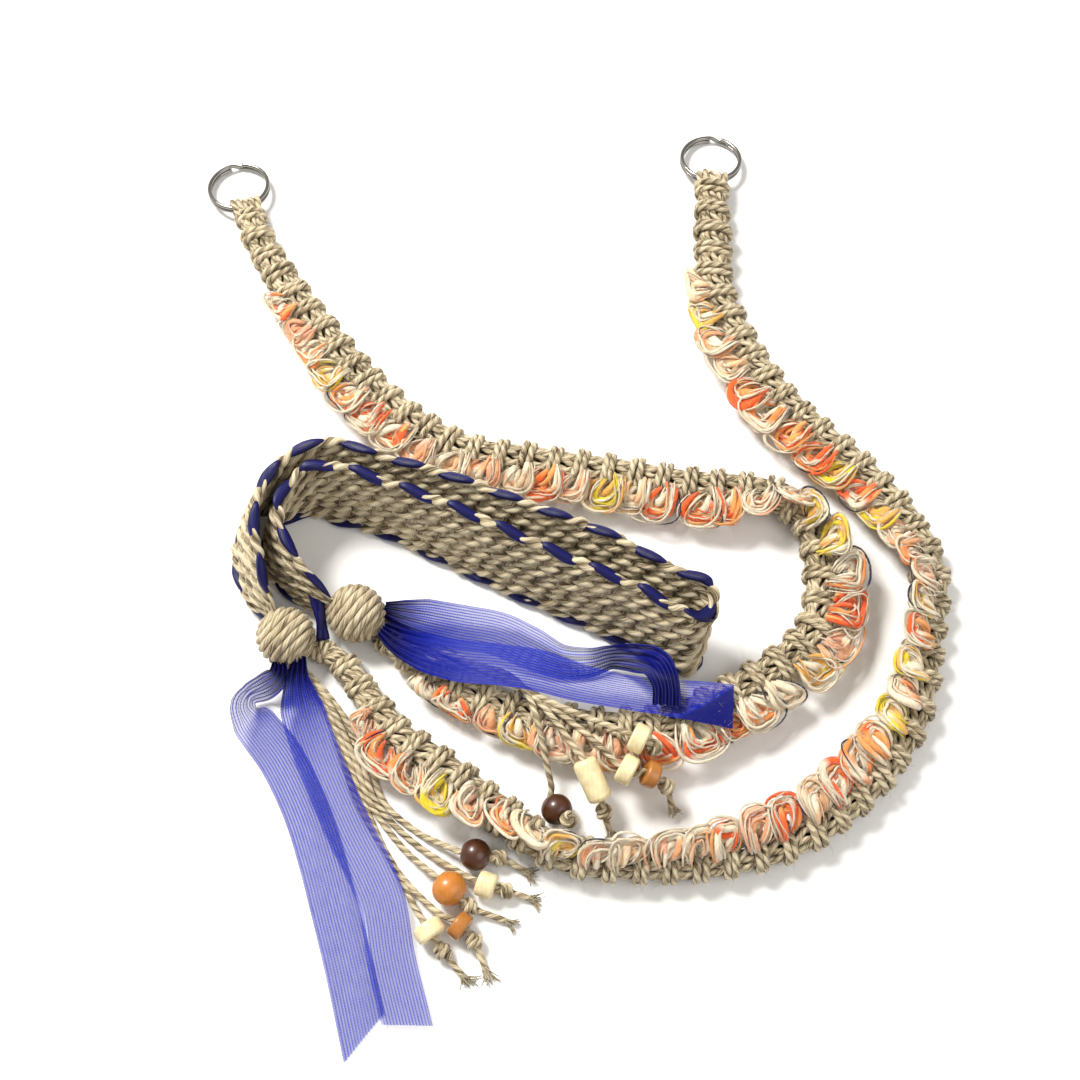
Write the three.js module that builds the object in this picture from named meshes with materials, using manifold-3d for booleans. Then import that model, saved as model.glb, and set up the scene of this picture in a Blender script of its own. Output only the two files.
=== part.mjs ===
// A macrame neck strap of hemp cord, laid down on a table. Millimetres, +Z up, +Y away from the viewer.
// Two knotted arms, edged with slub yarn, each run from a split ring to a wound ball knot. A woven band
// with ribbon edges joins the two ball knots, and ribbon tails and beaded tassels hang from them.
import * as THREE from "three";
import { mergeVertices } from "three/addons/utils/BufferGeometryUtils.js";
import Module from "manifold-3d";

const wasm = await Module();
wasm.setup();

// The layout on the table: the tables below give plan places as shares of these two.
const LAY_WIDTH = 210;
const LAY_DEPTH = 290;

// The hemp cord that everything is knotted, wound and woven from, and the gap that separate pieces keep.
const CORD = 2;
const GAP = 0.3;

// The knotted arms: a sennit of square knots with a yarn scallop between knots.
const SENNIT_WIDTH = 11.5;
const SENNIT_HEIGHT = 10;
const KNOT_PITCH = 8;
const KNOT_SWELL = 0.07;
const YARN_REACH = 7.5;
const YARN_HEIGHT = 7.5;
const LOOP_PITCH = 9;
const LOOP_DIP = 0.4;
const YARN_GAP = 0.6;

// The woven band, standing on its lower edge.
const BAND_WIDTH = 28;
const BAND_THICK = 4.2;
const BAND_ROWS = 8;
const ROW_DEPTH = 0.55;

// The wound ball knots.
const BALL_DIAMETER = 16.5;
const BALL_WRAPS = 6;
const BALL_SIDES = 12;
const WRAP_DEPTH = 0.35;

// The ribbon tails.
const RIBBON_WIDTH = 12.7;
const RIBBON_WALL = 1;
const RIBBON_STEP = 6;

// The split rings: two turns of wire, one on the other.
const RING_DIAMETER = 20;
const RING_WIRE = 1.3;
const TURN_GAP = 0.15;
const RING_STEPS = 32;
const LOOP_WALL = 2.2;

// The beads, by kind: outer diameter and length along the bore.
const BEADS = {
  round_dark: { diameter: 8.6, length: 7.8, colour: 0x4a2210 },
  round_orange: { diameter: 9.4, length: 8.4, colour: 0xc87c2c },
  disc_cream: { diameter: 8.2, length: 4.4, colour: 0xf0dfae },
  disc_brown: { diameter: 7.4, length: 3.8, colour: 0xb0702c },
  drum_cream: { diameter: 7, length: 5.2, colour: 0xf0dfae },
  tube_cream: { diameter: 6.8, length: 12, colour: 0xf0dfae },
};
const BEAD_SIDES = 10;
const BEAD_EASE = 0.5;
const CORD_SIDES = 5;
const CORD_STEPS = 8;
const TASSEL_KNOT = 2.2;

// How finely a route is measured between two of its rows.
const ROUTE_DIVISIONS = 24;

// A table of rows with named columns.
function table(columns, rows) {
  return rows.map((row) => Object.fromEntries(columns.map((name, i) => [name, row[i]])));
}

// The arms' routes. across and along are plan shares. turn says where the yarn edge sits round the
// sennit, 0 on the left of the way to the ball, 0.5 on top and 1 on the right. girth and yarn are
// shares of the sennit's width and of the yarn's reach.
const ARM_COLUMNS = ["across", "along", "turn", "girth", "yarn"];
const LEFT_ARM = table(ARM_COLUMNS, [
  [-0.472, 0.436, 1, 0.85, 0],
  [-0.448, 0.383, 1, 0.85, 0],
  [-0.388, 0.304, 1, 0.95, 0.45],
  [-0.32, 0.229, 1, 1, 0.85],
  [-0.248, 0.167, 1, 1, 1],
  [-0.168, 0.125, 1, 1, 0.9],
  [-0.057, 0.104, 1, 1, 0.8],
  [0.054, 0.086, 1, 1, 0.9],
  [0.165, 0.067, 1, 1, 1],
  [0.22, 0.062, 0.95, 1, 0.9],
  [0.268, 0.053, 0.75, 1, 0.7],
  [0.304, 0.035, 0.5, 1, 0.7],
  [0.32, 0.006, 0.3, 1, 0.75],
  [0.317, -0.05, 0.05, 1, 0.9],
  [0.301, -0.089, 0, 1, 1],
  [0.267, -0.116, 0, 1, 1],
  [0.18, -0.153, 0, 1, 1],
  [0.077, -0.18, 0, 1, 0.9],
  [-0.028, -0.177, 0, 1, 0.8],
  [-0.132, -0.152, 0, 0.95, 0.45],
  [-0.222, -0.115, 0, 0.78, 0],
  [-0.29, -0.07, 0, 0.62, 0],
]);
const RIGHT_ARM = table(ARM_COLUMNS, [
  [0.236, 0.442, 1, 0.9, 0],
  [0.226, 0.361, 1, 1.02, 0],
  [0.221, 0.298, 1, 1.02, 0.35],
  [0.244, 0.238, 1, 1, 0.8],
  [0.284, 0.176, 1, 1, 1],
  [0.337, 0.124, 1, 1, 1],
  [0.392, 0.076, 1, 1, 0.75],
  [0.444, 0.018, 0.95, 1, 0.6],
  [0.466, -0.043, 0.75, 1, 0.75],
  [0.444, -0.111, 0.75, 1, 0.85],
  [0.411, -0.186, 0.85, 1, 0.9],
  [0.343, -0.247, 0.85, 1, 1],
  [0.243, -0.295, 0.85, 1, 1],
  [0.137, -0.312, 0.75, 1, 0.9],
  [0.035, -0.311, 0.7, 1, 0.85],
  [-0.066, -0.297, 0.55, 1, 0.7],
  [-0.133, -0.262, 0.3, 1, 0.85],
  [-0.201, -0.218, 0.05, 1, 0.95],
  [-0.271, -0.176, 0, 1, 0.7],
  [-0.3, -0.143, 0, 0.82, 0],
  [-0.342, -0.096, 0, 0.66, 0],
  [-0.381, -0.077, 0, 0.6, 0],
]);

// The ball knots' centres, as plan shares.
const LEFT_BALL = { across: -0.412, along: -0.073 };
const RIGHT_BALL = { across: -0.318, along: -0.053 };

// The band's route from the left ball to the right one. across and along place its lower edge, lean_x and
// lean_y the upper edge beside it, and low and high their heights, all four as shares of the band's width.
const BAND = table(
  ["across", "along", "lean_x", "lean_y", "low", "high"],
  [
    [-0.426, -0.06, 0.04, 0.0, 0.16, 0.46],
    [-0.443, -0.047, 0.14, -0.01, 0.11, 0.52],
    [-0.469, -0.026, 0.27, -0.02, 0.03, 0.74],
    [-0.483, 0.003, 0.34, -0.04, 0, 0.9],
    [-0.485, 0.033, 0.33, -0.04, 0, 0.94],
    [-0.469, 0.059, 0.27, -0.01, 0, 0.95],
    [-0.431, 0.079, 0.14, 0.03, 0, 0.98],
    [-0.383, 0.087, 0, 0.12, 0, 0.98],
    [-0.34, 0.08, 0.08, 0.26, 0, 0.96],
    [-0.305, 0.064, 0.12, 0.3, 0, 0.95],
    [-0.204, 0.033, 0.15, 0.32, 0, 0.94],
    [-0.097, -0.003, 0.15, 0.32, 0, 0.94],
    [0.01, -0.04, 0.15, 0.31, 0, 0.94],
    [0.09, -0.079, 0.15, 0.31, 0, 0.94],
    [0.125, -0.093, 0.14, 0.33, 0, 0.94],
    [0.138, -0.112, 0.12, 0.33, 0, 0.94],
    [0.12, -0.127, 0.12, 0.32, 0, 0.94],
    [0.09, -0.117, 0.13, 0.29, 0, 0.95],
    [0.037, -0.09, 0.14, 0.27, 0, 0.95],
    [-0.066, -0.05, 0.14, 0.27, 0, 0.95],
    [-0.176, -0.004, 0.14, 0.26, 0, 0.95],
    [-0.276, 0.038, 0.11, 0.2, 0, 0.96],
    [-0.338, 0.055, 0.05, 0.24, 0, 0.96],
    [-0.383, 0.066, 0.11, 0.13, 0, 0.96],
    [-0.422, 0.06, 0.19, 0.03, 0, 0.95],
    [-0.445, 0.036, 0.26, 0.06, 0, 0.93],
    [-0.44, 0.005, 0.28, 0.05, 0, 0.88],
    [-0.412, -0.022, 0.23, 0.05, 0.02, 0.76],
    [-0.376, -0.041, 0.13, 0.05, 0.09, 0.6],
    [-0.349, -0.05, 0.04, 0.02, 0.15, 0.46],
  ],
);

// The ribbon tails. rise is the middle's height as a share of the sennit's height, spread the width as a
// share of the ribbon's, gather how many walls thick it is, roll its turn about its run in half turns
// (its left edge up), and skew how far its left edge runs ahead, as a share of its width.
const RIBBON_COLUMNS = ["across", "along", "rise", "spread", "gather", "roll", "skew"];
const RIBBONS = {
  ribbon_tail_looped: table(RIBBON_COLUMNS, [
    [-0.42, -0.1, 0.9, 0.3, 3, 0, 0],
    [-0.424, -0.113, 0.74, 0.5, 2, -0.1, 0],
    [-0.444, -0.12, 0.55, 0.75, 1.2, -0.32, 0],
    [-0.463, -0.127, 0.56, 0.8, 1, -0.42, 0],
    [-0.469, -0.138, 0.52, 0.85, 1, -0.28, 0],
    [-0.458, -0.152, 0.32, 1, 1, -0.1, 0],
    [-0.424, -0.187, 0.1, 1, 1, -0.01, 0],
    [-0.391, -0.24, 0.06, 1, 1, 0, 0],
    [-0.371, -0.289, 0.06, 1, 1, 0, 0],
    [-0.357, -0.331, 0.06, 1, 1, 0, 0],
    [-0.34, -0.384, 0.06, 1, 1, 0, 0],
    [-0.322, -0.45, 0.06, 1, 1, 0, -0.75],
  ]),
  ribbon_tail_long: table(RIBBON_COLUMNS, [
    [-0.393, -0.095, 0.92, 0.28, 3, 0, 0],
    [-0.397, -0.114, 0.75, 0.5, 1.8, 0, 0],
    [-0.394, -0.142, 0.45, 0.95, 1, 0, 0],
    [-0.378, -0.182, 0.3, 1, 1, 0.01, 0],
    [-0.355, -0.227, 0.29, 1, 1, 0.01, 0],
    [-0.333, -0.266, 0.29, 1, 1, 0, 0],
    [-0.31, -0.302, 0.34, 1, 1, 0.03, 0],
    [-0.295, -0.332, 0.34, 1, 1, 0.03, 0],
    [-0.285, -0.384, 0.24, 1, 1, 0, 0],
    [-0.268, -0.442, 0.2, 1, 1, 0, 0.3],
  ]),
  ribbon_tail_folded: table(RIBBON_COLUMNS, [
    [-0.281, -0.05, 0.8, 0.32, 3, 0, 0],
    [-0.258, -0.056, 0.78, 0.65, 2, 0.03, 0],
    [-0.225, -0.062, 0.7, 0.95, 1.2, 0.04, 0],
    [-0.18, -0.07, 0.6, 1, 1, 0.06, 0],
    [-0.127, -0.079, 0.5, 1, 1, 0.05, 0],
    [-0.087, -0.094, 0.42, 0.95, 1, 0.1, 0],
    [-0.048, -0.109, 0.42, 0.8, 1, 0.2, 0],
    [-0.008, -0.113, 0.52, 0.8, 1, 0.3, 0],
    [0.022, -0.109, 0.55, 0.75, 1, 0.36, 0],
    [0.054, -0.115, 0.8, 0.75, 1, 0.26, 0],
    [0.077, -0.13, 1.32, 0.7, 1.2, 0.08, 0],
    [0.085, -0.153, 1.5, 0.6, 2, 0, 0],
    [0.083, -0.172, 1.5, 0.6, 2, 0, 0],
  ]),
  ribbon_tail_lower: table(RIBBON_COLUMNS, [
    [-0.284, -0.075, 1.15, 0.32, 3, 0, 0],
    [-0.26, -0.09, 1.2, 0.65, 1.8, -0.03, 0],
    [-0.225, -0.102, 1.14, 0.95, 1.2, -0.05, 0],
    [-0.182, -0.112, 1.15, 1, 1, -0.03, 0],
    [-0.129, -0.12, 1.3, 1, 1, -0.03, 0],
    [-0.077, -0.129, 1.34, 1, 1, -0.03, 0],
    [-0.025, -0.141, 1.16, 1, 1, -0.1, 0],
    [0.027, -0.15, 1.02, 1, 1, -0.13, 0],
    [0.079, -0.158, 1.02, 1, 1, -0.13, 0],
    [0.131, -0.167, 1.18, 1, 1, -0.04, 0],
    [0.172, -0.174, 1.2, 1, 1, 0, -0.1],
  ]),
};

// The tassels' cords: route points as plan shares with rise in shares of the sennit's height. bead names
// the bead threaded there, and knot is 1 where an overhand knot swells the cord.
const CORD_COLUMNS = ["across", "along", "rise", "bead", "knot"];
const TASSELS = {
  tassel_left: [
    table(CORD_COLUMNS, [
      [-0.395, -0.099, 0.4, "", 0],
      [-0.355, -0.134, 0.27, "", 0],
      [-0.31, -0.19, 0.1, "", 0],
      [-0.29, -0.236, 0.1, "", 0],
      [-0.247, -0.267, 0.1, "", 0],
      [-0.205, -0.286, 0.4, "", 0],
      [-0.174, -0.294, 0.43, "round_dark", 0],
      [-0.144, -0.297, 0.3, "", 1],
      [-0.106, -0.312, 0.1, "", 0],
    ]),
    table(CORD_COLUMNS, [
      [-0.395, -0.099, 0.4, "", 0],
      [-0.358, -0.134, 0.1, "", 0],
      [-0.32, -0.19, 0.1, "", 0],
      [-0.3, -0.236, 0.1, "", 0],
      [-0.255, -0.275, 0.1, "", 0],
      [-0.19, -0.311, 0.3, "", 0],
      [-0.162, -0.322, 0.36, "drum_cream", 0],
      [-0.138, -0.328, 0.28, "", 1],
      [-0.104, -0.336, 0.1, "", 0],
    ]),
    table(CORD_COLUMNS, [
      [-0.395, -0.099, 0.4, "", 0],
      [-0.361, -0.134, 0.44, "", 0],
      [-0.328, -0.19, 0.15, "", 0],
      [-0.308, -0.236, 0.1, "", 0],
      [-0.266, -0.282, 0.12, "", 0],
      [-0.23, -0.309, 0.45, "", 0],
      [-0.209, -0.324, 0.47, "round_orange", 0],
      [-0.186, -0.34, 0.28, "", 1],
      [-0.134, -0.356, 0.1, "", 0],
    ]),
    table(CORD_COLUMNS, [
      [-0.395, -0.099, 0.4, "", 0],
      [-0.366, -0.134, 0.27, "", 0],
      [-0.336, -0.19, 0.1, "", 0],
      [-0.316, -0.236, 0.1, "", 0],
      [-0.277, -0.3, 0.1, "", 0],
      [-0.222, -0.346, 0.34, "", 0],
      [-0.197, -0.358, 0.4, "disc_brown", 0],
      [-0.181, -0.372, 0.28, "", 1],
      [-0.166, -0.401, 0.1, "", 0],
    ]),
    table(CORD_COLUMNS, [
      [-0.395, -0.099, 0.4, "", 0],
      [-0.369, -0.134, 0.1, "", 0],
      [-0.344, -0.19, 0.1, "", 0],
      [-0.324, -0.236, 0.1, "", 0],
      [-0.279, -0.298, 0.1, "", 0],
      [-0.252, -0.341, 0.32, "", 0],
      [-0.236, -0.361, 0.42, "disc_cream", 0],
      [-0.221, -0.379, 0.28, "", 1],
      [-0.194, -0.404, 0.1, "", 0],
    ]),
  ],
  tassel_right: [
    table(CORD_COLUMNS, [
      [-0.281, -0.052, 0.25, "", 0],
      [-0.221, -0.078, 0.1, "", 0],
      [-0.156, -0.108, 0.4, "", 0],
      [-0.12, -0.124, 0.8, "", 0],
      [-0.096, -0.148, 1.2, "", 0],
      [-0.083, -0.183, 1.2, "", 0],
      [-0.076, -0.216, 0.9, "", 0],
      [-0.071, -0.236, 0.42, "", 0],
      [-0.066, -0.256, 0.44, "round_dark", 0],
      [-0.052, -0.27, 0.9, "", 1],
    ]),
    table(CORD_COLUMNS, [
      [-0.281, -0.052, 0.25, "", 0],
      [-0.221, -0.083, 0.1, "", 0],
      [-0.156, -0.113, 0.4, "", 0],
      [-0.118, -0.129, 0.8, "", 0],
      [-0.087, -0.153, 1.2, "", 0],
      [-0.056, -0.184, 1.22, "", 0],
      [-0.036, -0.209, 1.2, "", 0],
      [-0.019, -0.236, 1.1, "tube_cream", 0],
      [-0.006, -0.262, 0.6, "", 1],
      [0.002, -0.28, 0.12, "", 0],
    ]),
    table(CORD_COLUMNS, [
      [-0.281, -0.052, 0.25, "", 0],
      [-0.221, -0.088, 0.1, "", 0],
      [-0.156, -0.118, 0.4, "", 0],
      [-0.116, -0.134, 0.8, "", 0],
      [-0.08, -0.155, 1.2, "", 0],
      [-0.042, -0.179, 1.22, "", 0],
      [-0.002, -0.209, 1.28, "", 0],
      [0.026, -0.23, 1.3, "disc_cream", 0],
      [0.056, -0.235, 1.2, "disc_brown", 0],
      [0.076, -0.244, 0.9, "", 1],
      [0.084, -0.262, 0.3, "", 0],
    ]),
    table(CORD_COLUMNS, [
      [-0.281, -0.052, 0.25, "", 0],
      [-0.221, -0.083, 0.26, "", 0],
      [-0.156, -0.114, 0.55, "", 0],
      [-0.116, -0.132, 0.92, "", 0],
      [-0.076, -0.156, 1.3, "", 0],
      [-0.037, -0.172, 1.36, "", 0],
      [0.008, -0.188, 1.4, "", 0],
      [0.044, -0.203, 1.52, "disc_cream", 0],
      [0.064, -0.211, 1.3, "", 1],
    ]),
  ],
};

// Colours and surface finish of each material.
const HEMP = new THREE.MeshStandardMaterial({ color: 0xb8a37c, roughness: 0.9, metalness: 0 });
const YARN = new THREE.MeshStandardMaterial({ color: 0xe8c9a8, roughness: 0.95, metalness: 0 });
const WEAVE = new THREE.MeshStandardMaterial({ color: 0xa99a74, roughness: 0.9, metalness: 0 });
const RIBBON = new THREE.MeshStandardMaterial({ color: 0x4a4ad0, roughness: 0.5, metalness: 0 });
const STEEL = new THREE.MeshStandardMaterial({ color: 0xc8c8c4, roughness: 0.25, metalness: 1 });

const UP = new THREE.Vector3(0, 0, 1);

// A plan place in millimetres, at a height.
function place(row, height) {
  return new THREE.Vector3(row.across * LAY_WIDTH, row.along * LAY_DEPTH, height);
}

// A smooth route through the rows, with a reader for any column along it. Both take the share of the
// route's length that lies behind the point.
function route(rows, heightOf) {
  const points = rows.map((row) => place(row, heightOf(row)));
  const curve = new THREE.CatmullRomCurve3(points, false, "centripetal");
  curve.arcLengthDivisions = rows.length * ROUTE_DIVISIONS;
  const length = curve.getLength();
  const column = (name, u) => {
    const t = curve.getUtoTmapping(u) * (rows.length - 1);
    const i = Math.min(Math.floor(t), rows.length - 2);
    return THREE.MathUtils.lerp(rows[i][name], rows[i + 1][name], t - i);
  };
  return { curve, length, column };
}

// Turns a closed geometry so that its faces point outwards.
function facingOut(geometry) {
  const p = geometry.getAttribute("position");
  const index = geometry.index;
  const [a, b, c] = [new THREE.Vector3(), new THREE.Vector3(), new THREE.Vector3()];
  let volume = 0;
  for (let i = 0; i < index.count; i += 3) {
    a.fromBufferAttribute(p, index.getX(i));
    b.fromBufferAttribute(p, index.getX(i + 1));
    c.fromBufferAttribute(p, index.getX(i + 2));
    volume += a.dot(b.cross(c));
  }
  if (volume < 0) index.array.reverse();
  return geometry;
}

// A solid lofted through sections with equal numbers of points, each {at, side, up, outline}, and closed
// at both ends.
function loft(sections) {
  const count = sections[0].outline.length;
  const positions = [];
  for (const { at, side, up, outline } of sections)
    for (const [u, v] of outline)
      positions.push(
        at.x + side.x * u + up.x * v,
        at.y + side.y * u + up.y * v,
        at.z + side.z * u + up.z * v,
      );
  const faces = [];
  for (let s = 0; s + 1 < sections.length; s++)
    for (let i = 0; i < count; i++) {
      const a = s * count + i;
      const b = s * count + ((i + 1) % count);
      faces.push(a, b, b + count, a, b + count, a + count);
    }
  const cap = (section, first, turned) => {
    const contour = section.outline.map(([u, v]) => new THREE.Vector2(u, v));
    for (const [i, j, k] of THREE.ShapeUtils.triangulateShape(contour, []))
      faces.push(...(turned ? [first + i, first + k, first + j] : [first + i, first + j, first + k]));
  };
  cap(sections[0], 0, true);
  cap(sections.at(-1), (sections.length - 1) * count, false);
  const geometry = new THREE.BufferGeometry();
  geometry.setAttribute("position", new THREE.Float32BufferAttribute(positions, 3));
  geometry.setIndex(new THREE.BufferAttribute(new Uint32Array(faces), 1));
  return facingOut(geometry);
}

// The level frame of a route at a point: its left side and up.
function levelFrame(curve, u) {
  const tangent = curve.getTangentAt(u);
  return { tangent, left: new THREE.Vector3(-tangent.y, tangent.x, 0).normalize() };
}

function ngon(radius, sides) {
  return Array.from({ length: sides }, (_, i) => {
    const angle = (2 * Math.PI * i) / sides;
    return [radius * Math.cos(angle), radius * Math.sin(angle)];
  });
}

// Booleans on closed geometries.
function solidOf(geometry) {
  const bare = new THREE.BufferGeometry();
  bare.setAttribute("position", geometry.getAttribute("position"));
  if (geometry.index) bare.setIndex(geometry.index);
  const merged = mergeVertices(bare);
  return new wasm.Manifold(
    new wasm.Mesh({
      numProp: 3,
      vertProperties: new Float32Array(merged.getAttribute("position").array),
      triVerts: new Uint32Array(merged.index.array),
    }),
  );
}

function geometryOf(solid) {
  const mesh = solid.getMesh();
  const geometry = new THREE.BufferGeometry();
  geometry.setAttribute("position", new THREE.BufferAttribute(new Float32Array(mesh.vertProperties), 3));
  geometry.setIndex(new THREE.BufferAttribute(new Uint32Array(mesh.triVerts), 1));
  return geometry;
}

function cut(geometry, ...cutters) {
  return geometryOf(cutters.reduce((solid, cutter) => solid.subtract(solidOf(cutter)), solidOf(geometry)));
}

function join(...geometries) {
  return geometryOf(geometries.map(solidOf).reduce((all, one) => all.add(one)));
}

// The sennit's section: flat underneath, where it rests, and rounded above.
function sennitOutline(width, height) {
  const shape = [
    [-0.38, 0],
    [0.38, 0],
    [0.5, 0.45],
    [0.28, 1],
    [-0.28, 1],
    [-0.5, 0.45],
  ];
  return shape.map(([u, v]) => [u * width, v * height]);
}

function armRoute(rows) {
  return route(rows, () => 0);
}

// A knotted arm: the section swells at every knot, twice a pitch.
function sennit(rows) {
  const { curve, length, column } = armRoute(rows);
  const steps = 2 * Math.round(length / KNOT_PITCH);
  const sections = [];
  for (let i = 0; i <= steps; i++) {
    const u = i / steps;
    const { left } = levelFrame(curve, u);
    const girth = column("girth", u) * (i % 2 ? 1 + KNOT_SWELL : 1 - KNOT_SWELL);
    const outline = sennitOutline(SENNIT_WIDTH * girth, SENNIT_HEIGHT * girth);
    sections.push({ at: curve.getPointAt(u), side: left, up: UP, outline });
  }
  return loft(sections);
}

// The yarn edge: a scalloped strip that lies against the sennit, at the side that turn gives.
function yarnEdge(rows) {
  const { curve, length, column } = armRoute(rows);
  const steps = 2 * Math.round(length / LOOP_PITCH);
  const sections = [];
  for (let i = 0; i <= steps; i++) {
    const u = i / steps;
    const share = column("yarn", u);
    if (share < 0.12) continue;
    const { left } = levelFrame(curve, u);
    const angle = column("turn", u) * Math.PI;
    const girth = column("girth", u) * (1 + KNOT_SWELL);
    const width = SENNIT_WIDTH * girth;
    const height = SENNIT_HEIGHT * girth;
    const out = left.clone().multiplyScalar(Math.cos(angle)).addScaledVector(UP, Math.sin(angle));
    const round = left.clone().multiplyScalar(-Math.sin(angle)).addScaledVector(UP, Math.cos(angle));
    const seat = Math.max(
      ...sennitOutline(width, height).map(
        ([x, z]) => x * Math.cos(angle) + (z - height / 2) * Math.sin(angle),
      ),
    );
    const reach = YARN_REACH * share * (i % 2 ? 1 : 1 - LOOP_DIP);
    const half = (YARN_HEIGHT / 2) * (0.7 + 0.3 * share);
    const inner = seat + YARN_GAP;
    const outline = [
      [inner, -half],
      [inner + 0.75 * reach, -0.8 * half],
      [inner + reach, 0],
      [inner + 0.75 * reach, 0.8 * half],
      [inner, half],
    ];
    const at = curve.getPointAt(u).setZ(height / 2);
    sections.push({ at, side: out, up: round, outline });
  }
  return loft(sections);
}

// The band's section: rows of cord side by side, each a ridge on both faces.
function bandOutline(width) {
  const half = BAND_THICK / 2;
  const front = [];
  for (let i = 0; i <= 2 * BAND_ROWS; i++) {
    const face = i % 2 ? half : half - ROW_DEPTH;
    front.push([face, (width * i) / (2 * BAND_ROWS)]);
  }
  const back = front.map(([u, v]) => [-u, v]).reverse();
  return [...front, ...back];
}

// The band has a section at each row of its table. Its leaning wall stands on the table on one corner.
function wovenBand() {
  const points = BAND.map((row) => place(row, row.low * BAND_WIDTH));
  const curve = new THREE.CatmullRomCurve3(points, false, "centripetal");
  const sections = BAND.map((row, i) => {
    const rise = new THREE.Vector3(row.lean_x, row.lean_y, row.high - row.low).multiplyScalar(BAND_WIDTH);
    const width = rise.length();
    const up = rise.divideScalar(width);
    const side = new THREE.Vector3().crossVectors(curve.getTangent(i / (BAND.length - 1)), up).normalize();
    const at = points[i].clone();
    at.z += Math.abs(side.z) * (BAND_THICK / 2 - ROW_DEPTH);
    return { at, side, up, outline: bandOutline(width) };
  });
  return loft(sections);
}

function ballCentre(ball) {
  return place(ball, BALL_DIAMETER / 2);
}

// A ball of wound cord: rings of a sphere about a slanted axis, every second one sunk between two wraps.
function woundBall(ball, axis) {
  const radius = BALL_DIAMETER / 2;
  const rings = 2 * BALL_WRAPS;
  const frame = new THREE.Quaternion().setFromUnitVectors(UP, axis.clone().normalize());
  const side = new THREE.Vector3(1, 0, 0).applyQuaternion(frame);
  const up = new THREE.Vector3(0, 1, 0).applyQuaternion(frame);
  const pole = UP.clone().applyQuaternion(frame);
  const sections = [];
  for (let i = 1; i < rings; i++) {
    const angle = (Math.PI * i) / rings;
    const r = radius - (i % 2 ? 0 : WRAP_DEPTH);
    const at = ballCentre(ball).addScaledVector(pole, -r * Math.cos(angle));
    sections.push({ at, side, up, outline: ngon(r * Math.sin(angle), BALL_SIDES) });
  }
  return loft(sections);
}

// What is cut out of the pieces that end on a ball, so that they keep their gap to it.
function ballClearance(ball) {
  const { x, y, z } = ballCentre(ball);
  return new THREE.IcosahedronGeometry(BALL_DIAMETER / 2 + 2 * GAP, 2).translate(x, y, z);
}

// A ribbon tail: a thin wall along its route, gathered at the ball.
function ribbonTail(rows) {
  const { curve, length, column } = route(rows, (row) => row.rise * SENNIT_HEIGHT);
  const steps = Math.round(length / RIBBON_STEP);
  const sections = [];
  for (let i = 0; i <= steps; i++) {
    const u = i / steps;
    const { tangent, left } = levelFrame(curve, u);
    const roll = column("roll", u) * Math.PI;
    const side = left.clone().multiplyScalar(Math.cos(roll)).addScaledVector(UP, Math.sin(roll));
    const up = new THREE.Vector3().crossVectors(tangent, side).normalize();
    const width = RIBBON_WIDTH * column("spread", u);
    side.addScaledVector(tangent, i === steps ? rows.at(-1).skew : 0);
    const half = (RIBBON_WALL / 2) * column("gather", u);
    const outline = [
      [-width / 2, -half],
      [width / 2, -half],
      [width / 2, half],
      [-width / 2, half],
    ];
    sections.push({ at: curve.getPointAt(u), side, up, outline });
  }
  return loft(sections);
}

// A tassel cord's run: a smooth curve that goes straight through each bead, and the share of its length
// at each bead and knot.
function cordRun(rows) {
  const bare = rows.map((row) => place(row, row.rise * SENNIT_HEIGHT));
  const points = [];
  const marks = [];
  rows.forEach((row, i) => {
    if (row.bead || row.knot) marks.push({ ...row, index: points.length + (row.bead ? 1 : 0) });
    if (!row.bead) {
      points.push(bare[i]);
      return;
    }
    const way = bare[i + 1].clone().sub(bare[i - 1]).normalize();
    const half = BEADS[row.bead].length / 2 + BEAD_EASE;
    points.push(bare[i].clone().addScaledVector(way, -half), bare[i], bare[i].clone().addScaledVector(way, half));
  });
  const curve = new THREE.CatmullRomCurve3(points, false, "centripetal");
  curve.arcLengthDivisions = ROUTE_DIVISIONS * (points.length - 1);
  const lengths = curve.getLengths();
  const length = lengths.at(-1);
  for (const mark of marks) mark.share = lengths[ROUTE_DIVISIONS * mark.index] / length;
  return { curve, length, marks };
}

// One tassel cord, with its overhand knot.
function tasselCord(rows) {
  const { curve, length, marks } = cordRun(rows);
  const knots = marks.filter((mark) => mark.knot).map((mark) => mark.share);
  const beads = marks.filter((mark) => mark.bead);
  const reach = TASSEL_KNOT / length;
  const plain = Array.from({ length: CORD_STEPS + 1 }, (_, i) => i / CORD_STEPS);
  const threaded = beads.flatMap((mark) => {
    const half = (BEADS[mark.bead].length / 2 + BEAD_EASE) / length;
    return [mark.share - half, mark.share + half];
  });
  const swollen = knots.flatMap((k) => [k - reach, k - 0.5 * reach, k + 0.5 * reach, k + reach]);
  const clear = (u) => knots.every((k) => Math.abs(u - k) > 1.2 * reach);
  const stops = [...[...plain, ...threaded].filter(clear), ...swollen.map((u) => Math.min(u, 1))];
  stops.sort((a, b) => a - b);
  const sections = stops.map((u) => {
    const swell = knots.some((k) => Math.abs(u - k) < 0.7 * reach);
    const tangent = curve.getTangentAt(u);
    const side = new THREE.Vector3().crossVectors(UP, tangent).normalize();
    const up = new THREE.Vector3().crossVectors(tangent, side);
    const radius = swell ? TASSEL_KNOT : CORD / 2;
    const at = curve.getPointAt(u);
    at.z = Math.max(at.z, CORD / 2);
    return { at, side, up, outline: ngon(radius, CORD_SIDES) };
  });
  return loft(sections);
}

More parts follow.
